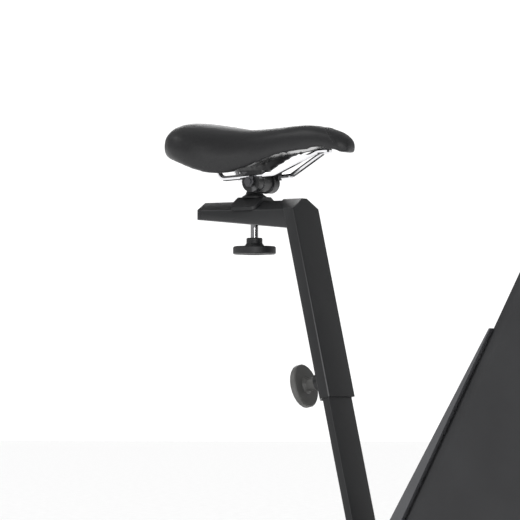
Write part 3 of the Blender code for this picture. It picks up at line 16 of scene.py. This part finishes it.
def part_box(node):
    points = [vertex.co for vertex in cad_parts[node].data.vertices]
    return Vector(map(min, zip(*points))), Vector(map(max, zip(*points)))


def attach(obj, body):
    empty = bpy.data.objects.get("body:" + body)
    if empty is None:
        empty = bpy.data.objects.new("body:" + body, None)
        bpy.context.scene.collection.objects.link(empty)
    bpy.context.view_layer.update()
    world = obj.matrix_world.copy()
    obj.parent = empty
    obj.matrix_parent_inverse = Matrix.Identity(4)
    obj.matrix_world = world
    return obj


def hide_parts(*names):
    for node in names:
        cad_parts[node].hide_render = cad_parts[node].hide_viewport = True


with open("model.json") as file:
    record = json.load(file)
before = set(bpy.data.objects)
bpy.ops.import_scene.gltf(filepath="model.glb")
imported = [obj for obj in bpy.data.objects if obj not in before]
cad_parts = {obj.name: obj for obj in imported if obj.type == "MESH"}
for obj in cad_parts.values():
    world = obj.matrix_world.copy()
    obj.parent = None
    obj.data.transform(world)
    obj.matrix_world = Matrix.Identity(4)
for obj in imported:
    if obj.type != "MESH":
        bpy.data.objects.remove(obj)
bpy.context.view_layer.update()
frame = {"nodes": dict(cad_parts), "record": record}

nodes = frame["nodes"]


# %% [markdown]
# ## Places
# Every place is read from the frame's boxes, so that a change in the solids moves the
# finished pieces with them.

# %% Read places from the frame
def corner_boxes(name):
    low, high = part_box(name)
    return Vector(low), Vector(high)


def middle(name):
    low, high = corner_boxes(name)
    return (low + high) / 2


CLAMP = middle("clamp_bolt")
CRANK = middle("crank_axle")
COVER_LOW, COVER_HIGH = corner_boxes("saddle_cover")
print("clamp", [round(v, 3) for v in CLAMP], "crank", [round(v, 3) for v in CRANK])

# %% [markdown]
# ## Camera
# A long lens from a little below the saddle's height keeps the post's edges nearly parallel.
# The camera looks from the front right, and its distance and lens give the wanted framing.

# %% Camera
VIEW_TURN = math.radians(31.5)
VIEW_TILT = math.radians(-2.27)
VIEW_DISTANCE = 5.5
AIM_HEIGHT = 0.818
AIM_BACK = 0.0015

aim = Vector((CLAMP.x - AIM_BACK, 0.0, AIM_HEIGHT))
back = Vector((math.sin(VIEW_TURN) * math.cos(VIEW_TILT),
               -math.cos(VIEW_TURN) * math.cos(VIEW_TILT), math.sin(VIEW_TILT)))
camera_data = bpy.data.cameras.new("camera")
camera_data.lens = 292.0
camera_data.sensor_width = 36.0
camera = bpy.data.objects.new("camera", camera_data)
bpy.context.scene.collection.objects.link(camera)
camera.location = aim + back * VIEW_DISTANCE
camera.rotation_euler = back.to_track_quat("Z", "Y").to_euler()
bpy.context.scene.camera = camera
print("camera at", [round(v, 3) for v in camera.location])

# %% [markdown]
# ## Light and floor
# Black paint shows best inside a white tent: light comes from everywhere and the dark
# shapes show by soft reflections. A white world does the same, but its full strength would
# wash out black paint, so reflections see a dimmer world. Three large area lights add a
# direction: one behind the left shoulder, one near the camera that lines the long edges,
# and one from behind.

# %% Light and floor
SKY_STRENGTH = 1.15
REFLECTED_STRENGTH = 0.24

bpy.context.scene.view_settings.view_transform = "Standard"
world = bpy.data.worlds.new("tent")
bpy.context.scene.world = world
world.use_nodes = True
tent = world.node_tree
sky = tent.nodes["Background"]
sky.inputs["Color"].default_value = (1.0, 1.0, 1.0, 1.0)
rays = tent.nodes.new("ShaderNodeLightPath")
dimmed = tent.nodes.new("ShaderNodeMapRange")
dimmed.inputs["To Min"].default_value = SKY_STRENGTH
dimmed.inputs["To Max"].default_value = REFLECTED_STRENGTH
tent.links.new(rays.outputs["Is Glossy Ray"], dimmed.inputs["Value"])
tent.links.new(dimmed.outputs["Result"], sky.inputs["Strength"])


def area_light(name, offset, size, power):
    data = bpy.data.lights.new(name, "AREA")
    data.shape = "DISK"
    data.size = size
    data.energy = power
    lamp = bpy.data.objects.new(name, data)
    bpy.context.scene.collection.objects.link(lamp)
    lamp.location = aim + Vector(offset)
    lamp.rotation_euler = Vector(offset).to_track_quat("Z", "Y").to_euler()
    return lamp


area_light("key", (-1.6, -1.9, 2.3), 1.5, 16.0)
area_light("front", (1.9, -2.6, 0.5), 0.7, 13.0)
area_light("rim", (-1.6, 2.2, 1.2), 1.0, 8.0)


def plain_floor(half_size):
    bm = bmesh.new()
    bmesh.ops.create_grid(bm, x_segments=1, y_segments=1, size=half_size)
    mesh = bpy.data.meshes.new("floor")
    bm.to_mesh(mesh)
    bm.free()
    floor = bpy.data.objects.new("floor", mesh)
    bpy.context.scene.collection.objects.link(floor)
    return floor


floor = plain_floor(150.0)
print("three lights and a floor")


# %% [markdown]
# ## Shared shader effects
# Real surfaces are never one flat value. Four small effects are made once as node groups:
# a fine grain for moulded and coated surfaces, lighter exposed edges that are partly wear
# and partly a painted highlight, a little dust on top faces, and the pebbled grain of vinyl.
# Each puts out only masks and heights.

# %% Group helper
def new_group(name, inputs, outputs):
    """A shader group with float inputs {name: default} and float outputs."""
    group = bpy.data.node_groups.new(name, "ShaderNodeTree")
    for label, default in inputs.items():
        socket = group.interface.new_socket(label, in_out="INPUT", socket_type="NodeSocketFloat")
        socket.default_value = default
    for label in outputs:
        group.interface.new_socket(label, in_out="OUTPUT", socket_type="NodeSocketFloat")
    entry = group.nodes.new("NodeGroupInput")
    leave = group.nodes.new("NodeGroupOutput")
    return group, entry, leave


def math_node(tree, operation, first, second=None, clamp=False):
    node = tree.nodes.new("ShaderNodeMath")
    node.operation = operation
    node.use_clamp = clamp
    for index, value in enumerate((first, second)):
        if isinstance(value, (int, float)):
            node.inputs[index].default_value = value
        elif value is not None:
            tree.links.new(value, node.inputs[index])
    return node.outputs[0]


def noise_node(tree, scale, detail=3.0, stretch=(1.0, 1.0, 1.0)):
    """Noise in the object's own metres; scale may be a socket."""
    place = tree.nodes.new("ShaderNodeTexCoord")
    mapping = tree.nodes.new("ShaderNodeMapping")
    mapping.inputs["Scale"].default_value = stretch
    tree.links.new(place.outputs["Object"], mapping.inputs["Vector"])
    noise = tree.nodes.new("ShaderNodeTexNoise")
    noise.inputs["Detail"].default_value = detail
    tree.links.new(mapping.outputs["Vector"], noise.inputs["Vector"])
    if isinstance(scale, (int, float)):
        noise.inputs["Scale"].default_value = scale
    else:
        tree.links.new(scale, noise.inputs["Scale"])
    return noise.outputs["Fac"]


# %% Fine grain group
def make_grain_group():
    group, entry, leave = new_group("fine_grain", {"Scale": 1800.0, "Patch Scale": 14.0},
                                    ("Height", "Patches"))
    fine = noise_node(group, entry.outputs["Scale"], 2.0)
    patches = noise_node(group, entry.outputs["Patch Scale"], 4.0)
    group.links.new(fine, leave.inputs["Height"])
    group.links.new(patches, leave.inputs["Patches"])
    return group


grain_group = make_grain_group()
print("group", grain_group.name)


# %% Edge wear and painted highlight group
def make_wear_and_highlight_group():
    """Mask that is 1 on sharp outer edges, broken up by noise: edge wear, and a painted highlight
    along the edges.
    """
    group, entry, leave = new_group("edge_wear_and_highlight", {"Amount": 0.5}, ("Mask",))
    geometry = group.nodes.new("ShaderNodeNewGeometry")
    edges = math_node(group, "SUBTRACT", geometry.outputs["Pointiness"], 0.56)
    edges = math_node(group, "MULTIPLY", edges, 14.0, clamp=True)
    broken = math_node(group, "SUBTRACT", noise_node(group, 90.0, 5.0), 0.18)
    broken = math_node(group, "MULTIPLY", broken, 5.0, clamp=True)
    mask = math_node(group, "MULTIPLY", edges, broken)
    mask = math_node(group, "MULTIPLY", mask, entry.outputs["Amount"], clamp=True)
    group.links.new(mask, leave.inputs["Mask"])
    return group


wear_and_highlight_group = make_wear_and_highlight_group()
print("group", wear_and_highlight_group.name)


# %% Dust group
def make_dust_group():
    """Mask of thin dust on faces that look up."""
    group, entry, leave = new_group("settled_dust", {"Amount": 0.2}, ("Mask",))
    geometry = group.nodes.new("ShaderNodeNewGeometry")
    split = group.nodes.new("ShaderNodeSeparateXYZ")
    group.links.new(geometry.outputs["Normal"], split.inputs[0])
    upward = math_node(group, "POWER", math_node(group, "MAXIMUM", split.outputs["Z"], 0.0), 3.0)
    spread = noise_node(group, 35.0, 6.0)
    mask = math_node(group, "MULTIPLY", upward, spread)
    mask = math_node(group, "MULTIPLY", mask, entry.outputs["Amount"], clamp=True)
    group.links.new(mask, leave.inputs["Mask"])
    return group


dust_group = make_dust_group()
print("group", dust_group.name)


# %% Vinyl grain group
def make_pebble_group():
    """Pebbled cells with creases between them, as pressed into vinyl."""
    group, entry, leave = new_group("pebble_grain", {"Scale": 700.0}, ("Height", "Creases"))
    place = group.nodes.new("ShaderNodeTexCoord")
    cells = group.nodes.new("ShaderNodeTexVoronoi")
    cells.feature = "F1"
    group.links.new(place.outputs["Object"], cells.inputs["Vector"])
    group.links.new(entry.outputs["Scale"], cells.inputs["Scale"])
    height = math_node(group, "SUBTRACT", 1.0, cells.outputs["Distance"])
    soft = math_node(group, "MULTIPLY", noise_node(group, 160.0, 3.0), 0.6)
    group.links.new(math_node(group, "ADD", height, soft), leave.inputs["Height"])
    group.links.new(cells.outputs["Distance"], leave.inputs["Creases"])
    return group


pebble_group = make_pebble_group()
print("group", pebble_group.name)


# %% [markdown]
# ## Finishes
# A finish is a Principled shader with its constants set on the shader itself. Grain feeds the
# bump, patches vary the roughness a little, and dust and edge wear lighten the colour; on
# black steel the lighter edges are partly wear and partly a painted highlight along the edges.

# %% Finish helper
def place_group(tree, group, **values):
    node = tree.nodes.new("ShaderNodeGroup")
    node.node_tree = group
    for label, value in values.items():
        node.inputs[label.replace("_", " ")].default_value = value
    return node


def blend_colour(tree, mask, first, second):
    """Mix two colours, or a colour socket and a colour, by a mask."""
    node = tree.nodes.new("ShaderNodeMix")
    node.data_type = "RGBA"
    tree.links.new(mask, node.inputs["Factor"])
    for label, value in (("A", first), ("B", second)):
        socket = [item for item in node.inputs if item.name == label and item.type == "RGBA"][0]
        if isinstance(value, tuple):
            socket.default_value = (*value, 1.0)
        else:
            tree.links.new(value, socket)
    return [item for item in node.outputs if item.type == "RGBA"][0]


def span(tree, value, low, high):
    node = tree.nodes.new("ShaderNodeMapRange")
    node.inputs["To Min"].default_value = low
    node.inputs["To Max"].default_value = high
    tree.links.new(value, node.inputs["Value"])
    return node.outputs["Result"]


def add_bump(tree, shader, height, strength, distance):
    bump = tree.nodes.new("ShaderNodeBump")
    bump.inputs["Strength"].default_value = strength
    bump.inputs["Distance"].default_value = distance
    tree.links.new(height, bump.inputs["Height"])
    tree.links.new(bump.outputs["Normal"], shader.inputs["Normal"])


def start_finish(name):
    finish = bpy.data.materials.new(name)
    finish.use_nodes = True
    tree = finish.node_tree
    return finish, tree, tree.nodes["Principled BSDF"]


def grained(name, colour, rough, scale=1800.0, bump=0.12, metal=0.0, wear_and_highlight=0.0, dust=0.1,
            wear_and_highlight_colour=(0.30, 0.30, 0.31), coat=0.0, depth=0.0002):
    """Coated metal, moulded plastic or rubber with a fine grain."""
    finish, tree, shader = start_finish(name)
    shader.inputs["Metallic"].default_value = metal
    shader.inputs["Coat Weight"].default_value = coat
    shader.inputs["Coat Roughness"].default_value = 0.15
    grain = place_group(tree, grain_group, Scale=scale)
    lighter = tuple(min(1.0, channel * 1.35 + 0.004) for channel in colour)
    shade = blend_colour(tree, span(tree, grain.outputs["Patches"], -0.3, 1.2), colour, lighter)
    dusty = place_group(tree, dust_group, Amount=dust)
    shade = blend_colour(tree, dusty.outputs["Mask"], shade, (0.20, 0.195, 0.185))
    # Lighter edges: wear, and on black steel a painted highlight along the edges.
    if wear_and_highlight:
        edges = place_group(tree, wear_and_highlight_group, Amount=wear_and_highlight)
        shade = blend_colour(tree, edges.outputs["Mask"], shade, wear_and_highlight_colour)
    tree.links.new(shade, shader.inputs["Base Color"])
    low, high = max(rough - 0.07, 0.02), min(rough + 0.07, 1.0)
    tree.links.new(span(tree, grain.outputs["Patches"], low, high), shader.inputs["Roughness"])
    add_bump(tree, shader, grain.outputs["Height"], bump, depth)
    return finish


# %% Coated, moulded and rubber finishes
# Black steel's lighter edges are partly wear and partly a painted highlight along its long edges.
black_steel = grained("black_steel", (0.0105, 0.011, 0.012), 0.40, 2200.0, 0.14, wear_and_highlight=0.30)
black_plastic = grained("black_plastic", (0.013, 0.0134, 0.0145), 0.46, 2600.0, 0.18, wear_and_highlight=0.05)
# A lighter copy of the black plastic for the height knob: painted light on the knob's face.
lit_knob_plastic = grained("lit_knob_plastic", (0.075, 0.075, 0.072), 0.42, 2400.0, 0.20, wear_and_highlight=0.05)
gloss_plastic = grained("gloss_plastic", (0.010, 0.010, 0.011), 0.16, 900.0, 0.02, coat=0.6,
                        dust=0.04)
shroud_plastic = grained("shroud_plastic", (0.018, 0.0183, 0.020), 0.56, 1500.0, 0.25)
trim_plastic = grained("trim_plastic", (0.062, 0.063, 0.067), 0.44, 1700.0, 0.18)
rubber = grained("rubber", (0.018, 0.018, 0.018), 0.78, 1200.0, 0.3)
print("seven grained finishes")


# %% [markdown]
# ## Metal finishes
# Chrome is a mirror with faint hairlines; a flat mirror looks like glass, so the hairlines
# vary its roughness. The pulleys and the flywheel are darker turned iron.

# %% Chrome and iron
def brushed(name, colour, low, high, scale, stretch, bump):
    finish, tree, shader = start_finish(name)
    shader.inputs["Metallic"].default_value = 1.0
    lines = noise_node(tree, scale, 4.0, stretch)
    darker = tuple(channel * 0.8 for channel in colour)
    tree.links.new(blend_colour(tree, lines, colour, darker), shader.inputs["Base Color"])
    tree.links.new(span(tree, lines, low, high), shader.inputs["Roughness"])
    add_bump(tree, shader, lines, bump, 0.0001)
    return finish


chrome = brushed("chrome", (0.86, 0.86, 0.88), 0.05, 0.16, 60.0, (1.0, 8.0, 8.0), 0.02)
dark_iron = brushed("dark_iron", (0.16, 0.16, 0.17), 0.32, 0.55, 220.0, (1.0, 0.2, 1.0), 0.10)
print("two metals")


# %% [markdown]
# ## Vinyl and foam
# The saddle's cover is black vinyl with a fine pebble. Creases between the pebbles are
# painted a little darker, as painted shade. The grips are closed-cell foam with open pores,
# whose pores are painted darker, as painted shade.

# %% Vinyl and foam
def make_vinyl():
    finish, tree, shader = start_finish("vinyl")
    shader.inputs["Sheen Weight"].default_value = 0.06
    shader.inputs["Specular IOR Level"].default_value = 0.42
    pebbles = place_group(tree, pebble_group, Scale=850.0)
    grain = place_group(tree, grain_group, Scale=2600.0)
    # The creases take the darker colour: painted shade in the creases.
    shade = blend_colour(tree, pebbles.outputs["Creases"], (0.0175, 0.0178, 0.019),
                         (0.009, 0.009, 0.010))
    dusty = place_group(tree, dust_group, Amount=0.05)
    shade = blend_colour(tree, dusty.outputs["Mask"], shade, (0.2, 0.2, 0.2))
    tree.links.new(shade, shader.inputs["Base Color"])
    tree.links.new(span(tree, grain.outputs["Patches"], 0.34, 0.50), shader.inputs["Roughness"])
    add_bump(tree, shader, pebbles.outputs["Height"], 0.16, 0.0003)
    return finish


def make_foam():
    finish, tree, shader = start_finish("foam")
    shader.inputs["Sheen Weight"].default_value = 0.15
    pores = place_group(tree, pebble_group, Scale=1300.0)
    # The pores take the darker colour: painted shade in the pores.
    shade = blend_colour(tree, pores.outputs["Creases"], (0.026, 0.026, 0.027), (0.012, 0.012, 0.012))
    tree.links.new(shade, shader.inputs["Base Color"])
    tree.links.new(span(tree, pores.outputs["Creases"], 0.86, 0.96), shader.inputs["Roughness"])
    add_bump(tree, shader, pores.outputs["Height"], 0.5, 0.0005)
    return finish


vinyl = make_vinyl()
foam = make_foam()
print("vinyl and foam")


# %% [markdown]
# ## Display glass and floor
# The display's window is a dark, smooth panel with a faint coating. The floor is matt and
# nearly white, so that it does not draw the eye.

# %% Glass and floor finishes
glass = grained("display_glass", (0.012, 0.016, 0.018), 0.10, 300.0, 0.01, coat=1.0, dust=0.02)
pale_floor = grained("pale_floor", (0.86, 0.86, 0.86), 0.85, 40.0, 0.05, dust=0.0)
floor.data.materials.append(pale_floor)
FINISHES = {"black_steel": black_steel, "dark_iron": dark_iron, "chrome": chrome,
            "black_plastic": black_plastic, "gloss_plastic": gloss_plastic,
            "shroud_plastic": shroud_plastic, "trim_plastic": trim_plastic, "vinyl": vinyl,
            "rubber": rubber, "foam": foam}
print(len(FINISHES), "finishes for the frame's slots")

# %% [markdown]
# ## Finish the frame's solids
# Each solid takes the finish of its slot. A small bevel rounds the edges, because no real
# edge is perfectly sharp, and it gives the light a line to catch. Welding joins the split
# corners of the imported triangles first, and hardened normals keep flat faces flat.

# %% Dress the solids
EDGE_ROUND = {"shroud_plastic": 0.0012, "trim_plastic": 0.0010, "rubber": 0.0012,
              "black_plastic": 0.0008}
STEEL_ROUND = 0.0006


def soften(piece, width):
    """Weld, smooth and bevel a piece without touching its own vertices."""
    mesh = piece.data
    if "custom_normal" in mesh.attributes:
        mesh.attributes.remove(mesh.attributes["custom_normal"])
    mesh.shade_smooth()
    weld = piece.modifiers.new("weld", "WELD")
    weld.merge_threshold = 0.00001
    bevel = piece.modifiers.new("rounding", "BEVEL")
    bevel.width = width
    bevel.segments = 2
    bevel.limit_method = "ANGLE"
    bevel.angle_limit = math.radians(32.0)
    bevel.harden_normals = True


slots = {entry["node"]: entry["material_slot"] for entry in frame["record"]["subparts"]}
# The height knob takes the lighter plastic, painted light on its face; the clamp bolt takes dark
# iron.
OWN_FINISH = {"height_knob": lit_knob_plastic, "clamp_bolt": dark_iron}
KEEP_EDGES = ("rear_trim", "saddle_rails")
for name, solid in nodes.items():
    solid.data.materials.clear()
    solid.data.materials.append(OWN_FINISH.get(name, FINISHES[slots[name]]))
    if name not in KEEP_EDGES:
        soften(solid, EDGE_ROUND.get(slots[name], STEEL_ROUND))
print(len(slots), "solids dressed")

# %% [markdown]
# ## Saddle cover
# A real saddle is foam with vinyl pulled over it, so its surface is taut and slightly
# swollen. The frame's solid gives the shape; an even skin is made over it by a voxel remesh,
# blown up a little by the cloth solver, held along its underside, and smoothed.

# %% Even skin over the saddle
SKIN_VOXEL = 0.0045
SKIN_SHRINK = 0.0004
SWELL_LIMIT = 0.0030


def even_skin(source, name):
    """A separate closed skin with even faces, slightly smaller than the solid."""
    skin = bpy.data.objects.new(name, source.data.copy())
    bpy.context.scene.collection.objects.link(skin)
    skin.modifiers.new("weld", "WELD").merge_threshold = 0.00001
    remesh = skin.modifiers.new("remesh", "REMESH")
    remesh.mode = "VOXEL"
    remesh.voxel_size = SKIN_VOXEL
    graph = bpy.context.evaluated_depsgraph_get()
    mesh = bpy.data.meshes.new_from_object(skin.evaluated_get(graph))
    skin.modifiers.clear()
    skin.data = mesh
    for vertex, normal in zip(mesh.vertices, [v.normal.copy() for v in mesh.vertices]):
        vertex.co -= normal * SKIN_SHRINK
    return skin


cover = even_skin(nodes["saddle_cover"], "saddle_skin")
print("skin", len(cover.data.vertices), "points")


# %% Swell the skin with the cloth solver
def swell(skin, limit, last_frame=20):
    """Blow the skin up with its underside held, and keep each point within a limit."""
    held = skin.vertex_groups.new(name="held")
    down = [v.index for v in skin.data.vertices if v.normal.z < -0.25]
    held.add(down, 1.0, "REPLACE")
    cloth = skin.modifiers.new("cloth", "CLOTH")
    cloth.settings.use_pressure = True
    cloth.settings.uniform_pressure_force = 4.0
    cloth.settings.vertex_group_mass = "held"
    cloth.settings.effector_weights.gravity = 0.0
    cloth.point_cache.frame_start = 1
    cloth.point_cache.frame_end = last_frame
    for frame_number in range(1, last_frame + 1):
        bpy.context.scene.frame_set(frame_number)
    graph = bpy.context.evaluated_depsgraph_get()
    blown = bpy.data.meshes.new_from_object(skin.evaluated_get(graph))
    skin.modifiers.remove(cloth)
    farthest = 0.0
    for vertex, moved in zip(skin.data.vertices, blown.vertices):
        step = moved.co - vertex.co
        farthest = max(farthest, step.length)
        if step.length > limit:
            step *= limit / step.length
        vertex.co += step
    bpy.context.scene.frame_set(1)
    return farthest


print("skin swelled by up to", round(swell(cover, SWELL_LIMIT) * 1000, 1), "mm before the limit")

# %% Smooth and dress the cover
relax = cover.modifiers.new("relax", "SMOOTH")
relax.factor = 0.5
relax.iterations = 3
cover.modifiers.new("subdivide", "SUBSURF").render_levels = 1
cover.data.shade_smooth()
cover.data.materials.clear()
cover.data.materials.append(vinyl)
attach(cover, "saddle")
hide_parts("saddle_cover")
print("cover", [round(v, 3) for v in cover.dimensions])

# %% [markdown]
# ## Saddle seams
# The nose is a separate panel, joined by a seam that crosses the top and leans forward down
# both sides. A seam shows as a narrow bead beside a row of stitches. Both are laid on the
# finished skin by casting rays at it, so that they follow every swell.

# %% Lay points on the skin
bpy.context.view_layer.update()
skin_tree = BVHTree.FromObject(cover, bpy.context.evaluated_depsgraph_get())


def seam_points(top_x, forward, first=-12.0, last=192.0, steps=48):
    """Points and normals across the nose: top_x at the top, moved forward down the sides."""
    middle_z = (COVER_LOW.z + COVER_HIGH.z) / 2 + 0.006
    found = []
    for step in range(steps + 1):
        angle = math.radians(first + (last - first) * step / steps)
        x = top_x + forward * (1.0 - math.sin(angle))
        out = Vector((0.0, math.cos(angle), math.sin(angle)))
        hit = skin_tree.ray_cast(Vector((x, 0.0, middle_z)) + out * 0.1, -out, 0.1)
        if hit[0] is not None:
            found.append((hit[0], hit[1]))
    return found


NOSE_SEAM_X = COVER_HIGH.x - 0.034
SEAM_FORWARD = 0.016
seam = seam_points(NOSE_SEAM_X, SEAM_FORWARD)
print("seam", len(seam), "points")


# %% Seam bead and stitches
def bead(name, points, radius, lift=0.0):
    """A round bead along points, as a curve with a bevel."""
    data = bpy.data.curves.new(name, "CURVE")
    data.dimensions = "3D"
    data.bevel_depth = radius
    data.bevel_resolution = 2
    data.use_fill_caps = True
    spline = data.splines.new("POLY")
    spline.points.add(len(points) - 1)
    for spot, (place, normal) in zip(spline.points, points):
        spot.co = (*(place + normal * lift), 1.0)
    line = bpy.data.objects.new(name, data)
    bpy.context.scene.collection.objects.link(line)
    return line


def stitches(name, points, radius, share):
    """Short beads, each over a share of the way between one point and the next."""
    data = bpy.data.curves.new(name, "CURVE")
    data.dimensions = "3D"
    data.bevel_depth = radius
    data.bevel_resolution = 1
    data.use_fill_caps = True
    for (start, n0), (end, n1) in zip(points, points[1:]):
        step = (end - start) * (1.0 - share) / 2
        spline = data.splines.new("POLY")
        spline.points.add(2)
        centre = (start + end) / 2 + (n0 + n1) * 0.0002
        for spot, place in zip(spline.points, (start + step, centre, end - step)):
            spot.co = (*place, 1.0)
    line = bpy.data.objects.new(name, data)
    bpy.context.scene.collection.objects.link(line)
    return line


BEAD_RADIUS = 0.0006
THREAD_RADIUS = 0.00032
STITCH_SHARE = 0.62
STITCH_ROW_BACK = 0.0035

thread = grained("thread", (0.050, 0.050, 0.052), 0.62, 3000.0, 0.5, dust=0.0)
stitch_row = seam_points(NOSE_SEAM_X - STITCH_ROW_BACK, SEAM_FORWARD, steps=26)
pieces = [bead("saddle_seam", seam, BEAD_RADIUS),
          stitches("saddle_stitches", stitch_row, THREAD_RADIUS, STITCH_SHARE)]
for piece, finish in zip(pieces, (vinyl, thread)):
    piece.data.materials.append(finish)
    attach(piece, "saddle")
print("seam and", len(pieces[1].data.splines), "stitches")

# %% [markdown]
# ## Clamp teeth
# The two halves of the saddle clamp meet on serrated rings, which lock the saddle's tilt.
# Each ring is a flat gear profile given a thickness.


# %% Serrated rings
def serrated_ring(name, side, root, tip, count, inner, outer):
    """A toothed disc round the clamp's axis, between two distances from the middle plane."""
    bm = bmesh.new()
    layers = []
    for across in (inner, outer):
        layer = []
        for step in range(count * 2):
            radius = tip if step % 2 else root
            angle = math.pi * step / count
            layer.append(bm.verts.new((CLAMP.x + radius * math.cos(angle), side * across,
                                       CLAMP.z + radius * math.sin(angle))))
        layers.append(layer)
    total = count * 2
    for step in range(total):
        following = (step + 1) % total
        bm.faces.new((layers[0][step], layers[0][following],
                      layers[1][following], layers[1][step]))
    for layer in layers:
        bm.faces.new(layer)
    bmesh.ops.recalc_face_normals(bm, faces=bm.faces)
    mesh = bpy.data.meshes.new(name)
    bm.to_mesh(mesh)
    bm.free()
    ring = bpy.data.objects.new(name, mesh)
    bpy.context.scene.collection.objects.link(ring)
    ring.data.materials.append(black_steel)
    rounding = ring.modifiers.new("rounding", "BEVEL")
    rounding.width = 0.00015
    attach(ring, "saddle")
    return ring


TOOTH_ROOT, TOOTH_TIP, TOOTH_COUNT = 0.0136, 0.0143, 40
RING_INNER, RING_OUTER = 0.0112, 0.0140
for side, label in ((-1, "right"), (1, "left")):
    serrated_ring("clamp_teeth_" + label, side, TOOTH_ROOT, TOOTH_TIP, TOOTH_COUNT,
                  RING_INNER, RING_OUTER)
print("two serrated rings")

# %% [markdown]
# ## Display, buttons and covers
# The console's window is a separate dark pane set on the sloping face, above three buttons.
# The face is found by adding up the areas of the console's faces by direction, so the pane
# follows the console if its tilt changes.


# %% Find a flat face
def largest_face(name, towards):
    """Centre, normal and two in-plane directions of a solid's largest flat face that way."""
    mesh = nodes[name].data
    groups = {}
    for face in mesh.polygons:
        if face.normal.dot(towards) > 0.5:
            key = tuple(round(value, 2) for value in face.normal)
            groups.setdefault(key, []).append(face)
    faces = max(groups.values(), key=lambda group: sum(face.area for face in group))
    total = sum(face.area for face in faces)
    centre = sum((face.center * face.area for face in faces), Vector()) / total
    normal = faces[0].normal.copy()
    across = Vector((0.0, 1.0, 0.0))
    return centre, normal, across, across.cross(normal).normalized()


def flat_pad(name, centre, normal, across, up, width, height, thickness, finish, body):
    """A thin pad with rounded corners, set on a flat face."""
    bm = bmesh.new()
    corner = min(width, height) * 0.14
    outline = []
    for turn, (sx, sy) in enumerate(((1, 1), (-1, 1), (-1, -1), (1, -1))):
        for step in range(5):
            angle = math.radians(90 * turn + 22.5 * step)
            x = sx * (width / 2 - corner) + corner * math.cos(angle)
            y = sy * (height / 2 - corner) + corner * math.sin(angle)
            outline.append(bm.verts.new(centre + across * x + up * y))
    face = bm.faces.new(outline)
    grown = bmesh.ops.extrude_face_region(bm, geom=[face])
    for item in grown["geom"]:
        if isinstance(item, bmesh.types.BMVert):
            item.co += normal * thickness
    bmesh.ops.recalc_face_normals(bm, faces=bm.faces)
    mesh = bpy.data.meshes.new(name)
    bm.to_mesh(mesh)
    bm.free()
    pad = bpy.data.objects.new(name, mesh)
    bpy.context.scene.collection.objects.link(pad)
    pad.data.materials.append(finish)
    rounding = pad.modifiers.new("rounding", "BEVEL")
    rounding.width = thickness * 0.4
    rounding.segments = 2
    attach(pad, body)
    return pad


# %% Display window and buttons
spot, facing, across, up = largest_face("console", Vector((-0.8, 0.0, 0.6)))
WINDOW_WIDTH, WINDOW_HEIGHT, WINDOW_THICK, WINDOW_RISE = 0.104, 0.052, 0.0012, 0.012
BUTTON_WIDTH, BUTTON_HEIGHT, BUTTON_THICK = 0.022, 0.011, 0.0018
BUTTON_DROP, BUTTON_PITCH = 0.032, 0.034
flat_pad("display_window", spot + up * WINDOW_RISE, facing, across, up, WINDOW_WIDTH,
         WINDOW_HEIGHT, WINDOW_THICK, glass, "console")
for index in (-1, 0, 1):
    place = spot - up * BUTTON_DROP + across * BUTTON_PITCH * index
    flat_pad("button_" + "abc"[index + 1], place, facing, across, up, BUTTON_WIDTH,
             BUTTON_HEIGHT, BUTTON_THICK, trim_plastic, "console")
print("display at", [round(v, 3) for v in spot])


# %% [markdown]
# ## Crank caps
# A round plastic cap hides the bolt that holds each crank on its axle. It is turned: a
# short profile goes once round the crank's axis.

# %% Crank caps
CAP_RADIUS = 0.0115
CAP_DEPTH = 0.0035


def crank_cap(side, label, radius, depth):
    axle_low, axle_high = corner_boxes("crank_axle")
    start = axle_low.y if side < 0 else axle_high.y
    profile = [(radius, 0.0), (radius, depth * 0.5), (radius * 0.86, depth * 0.85),
               (radius * 0.5, depth), (0.0, depth)]
    bm = bmesh.new()
    line = [bm.verts.new((CRANK.x + r, start + side * d, CRANK.z)) for r, d in profile]
    edges = [bm.edges.new(pair) for pair in zip(line, line[1:])]
    bmesh.ops.spin(bm, geom=line + edges, cent=(CRANK.x, 0.0, CRANK.z), axis=(0.0, 1.0, 0.0),
                   angle=math.tau, steps=40)
    bmesh.ops.remove_doubles(bm, verts=bm.verts, dist=0.00002)
    bmesh.ops.recalc_face_normals(bm, faces=bm.faces)
    mesh = bpy.data.meshes.new("crank_cap_" + label)
    bm.to_mesh(mesh)
    bm.free()
    mesh.shade_smooth()
    cap = bpy.data.objects.new("crank_cap_" + label, mesh)
    bpy.context.scene.collection.objects.link(cap)
    cap.data.materials.append(black_plastic)
    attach(cap, "crank")
    return cap


for side, label in ((-1, "right"), (1, "left")):
    crank_cap(side, label, CAP_RADIUS, CAP_DEPTH)
print("two crank caps")
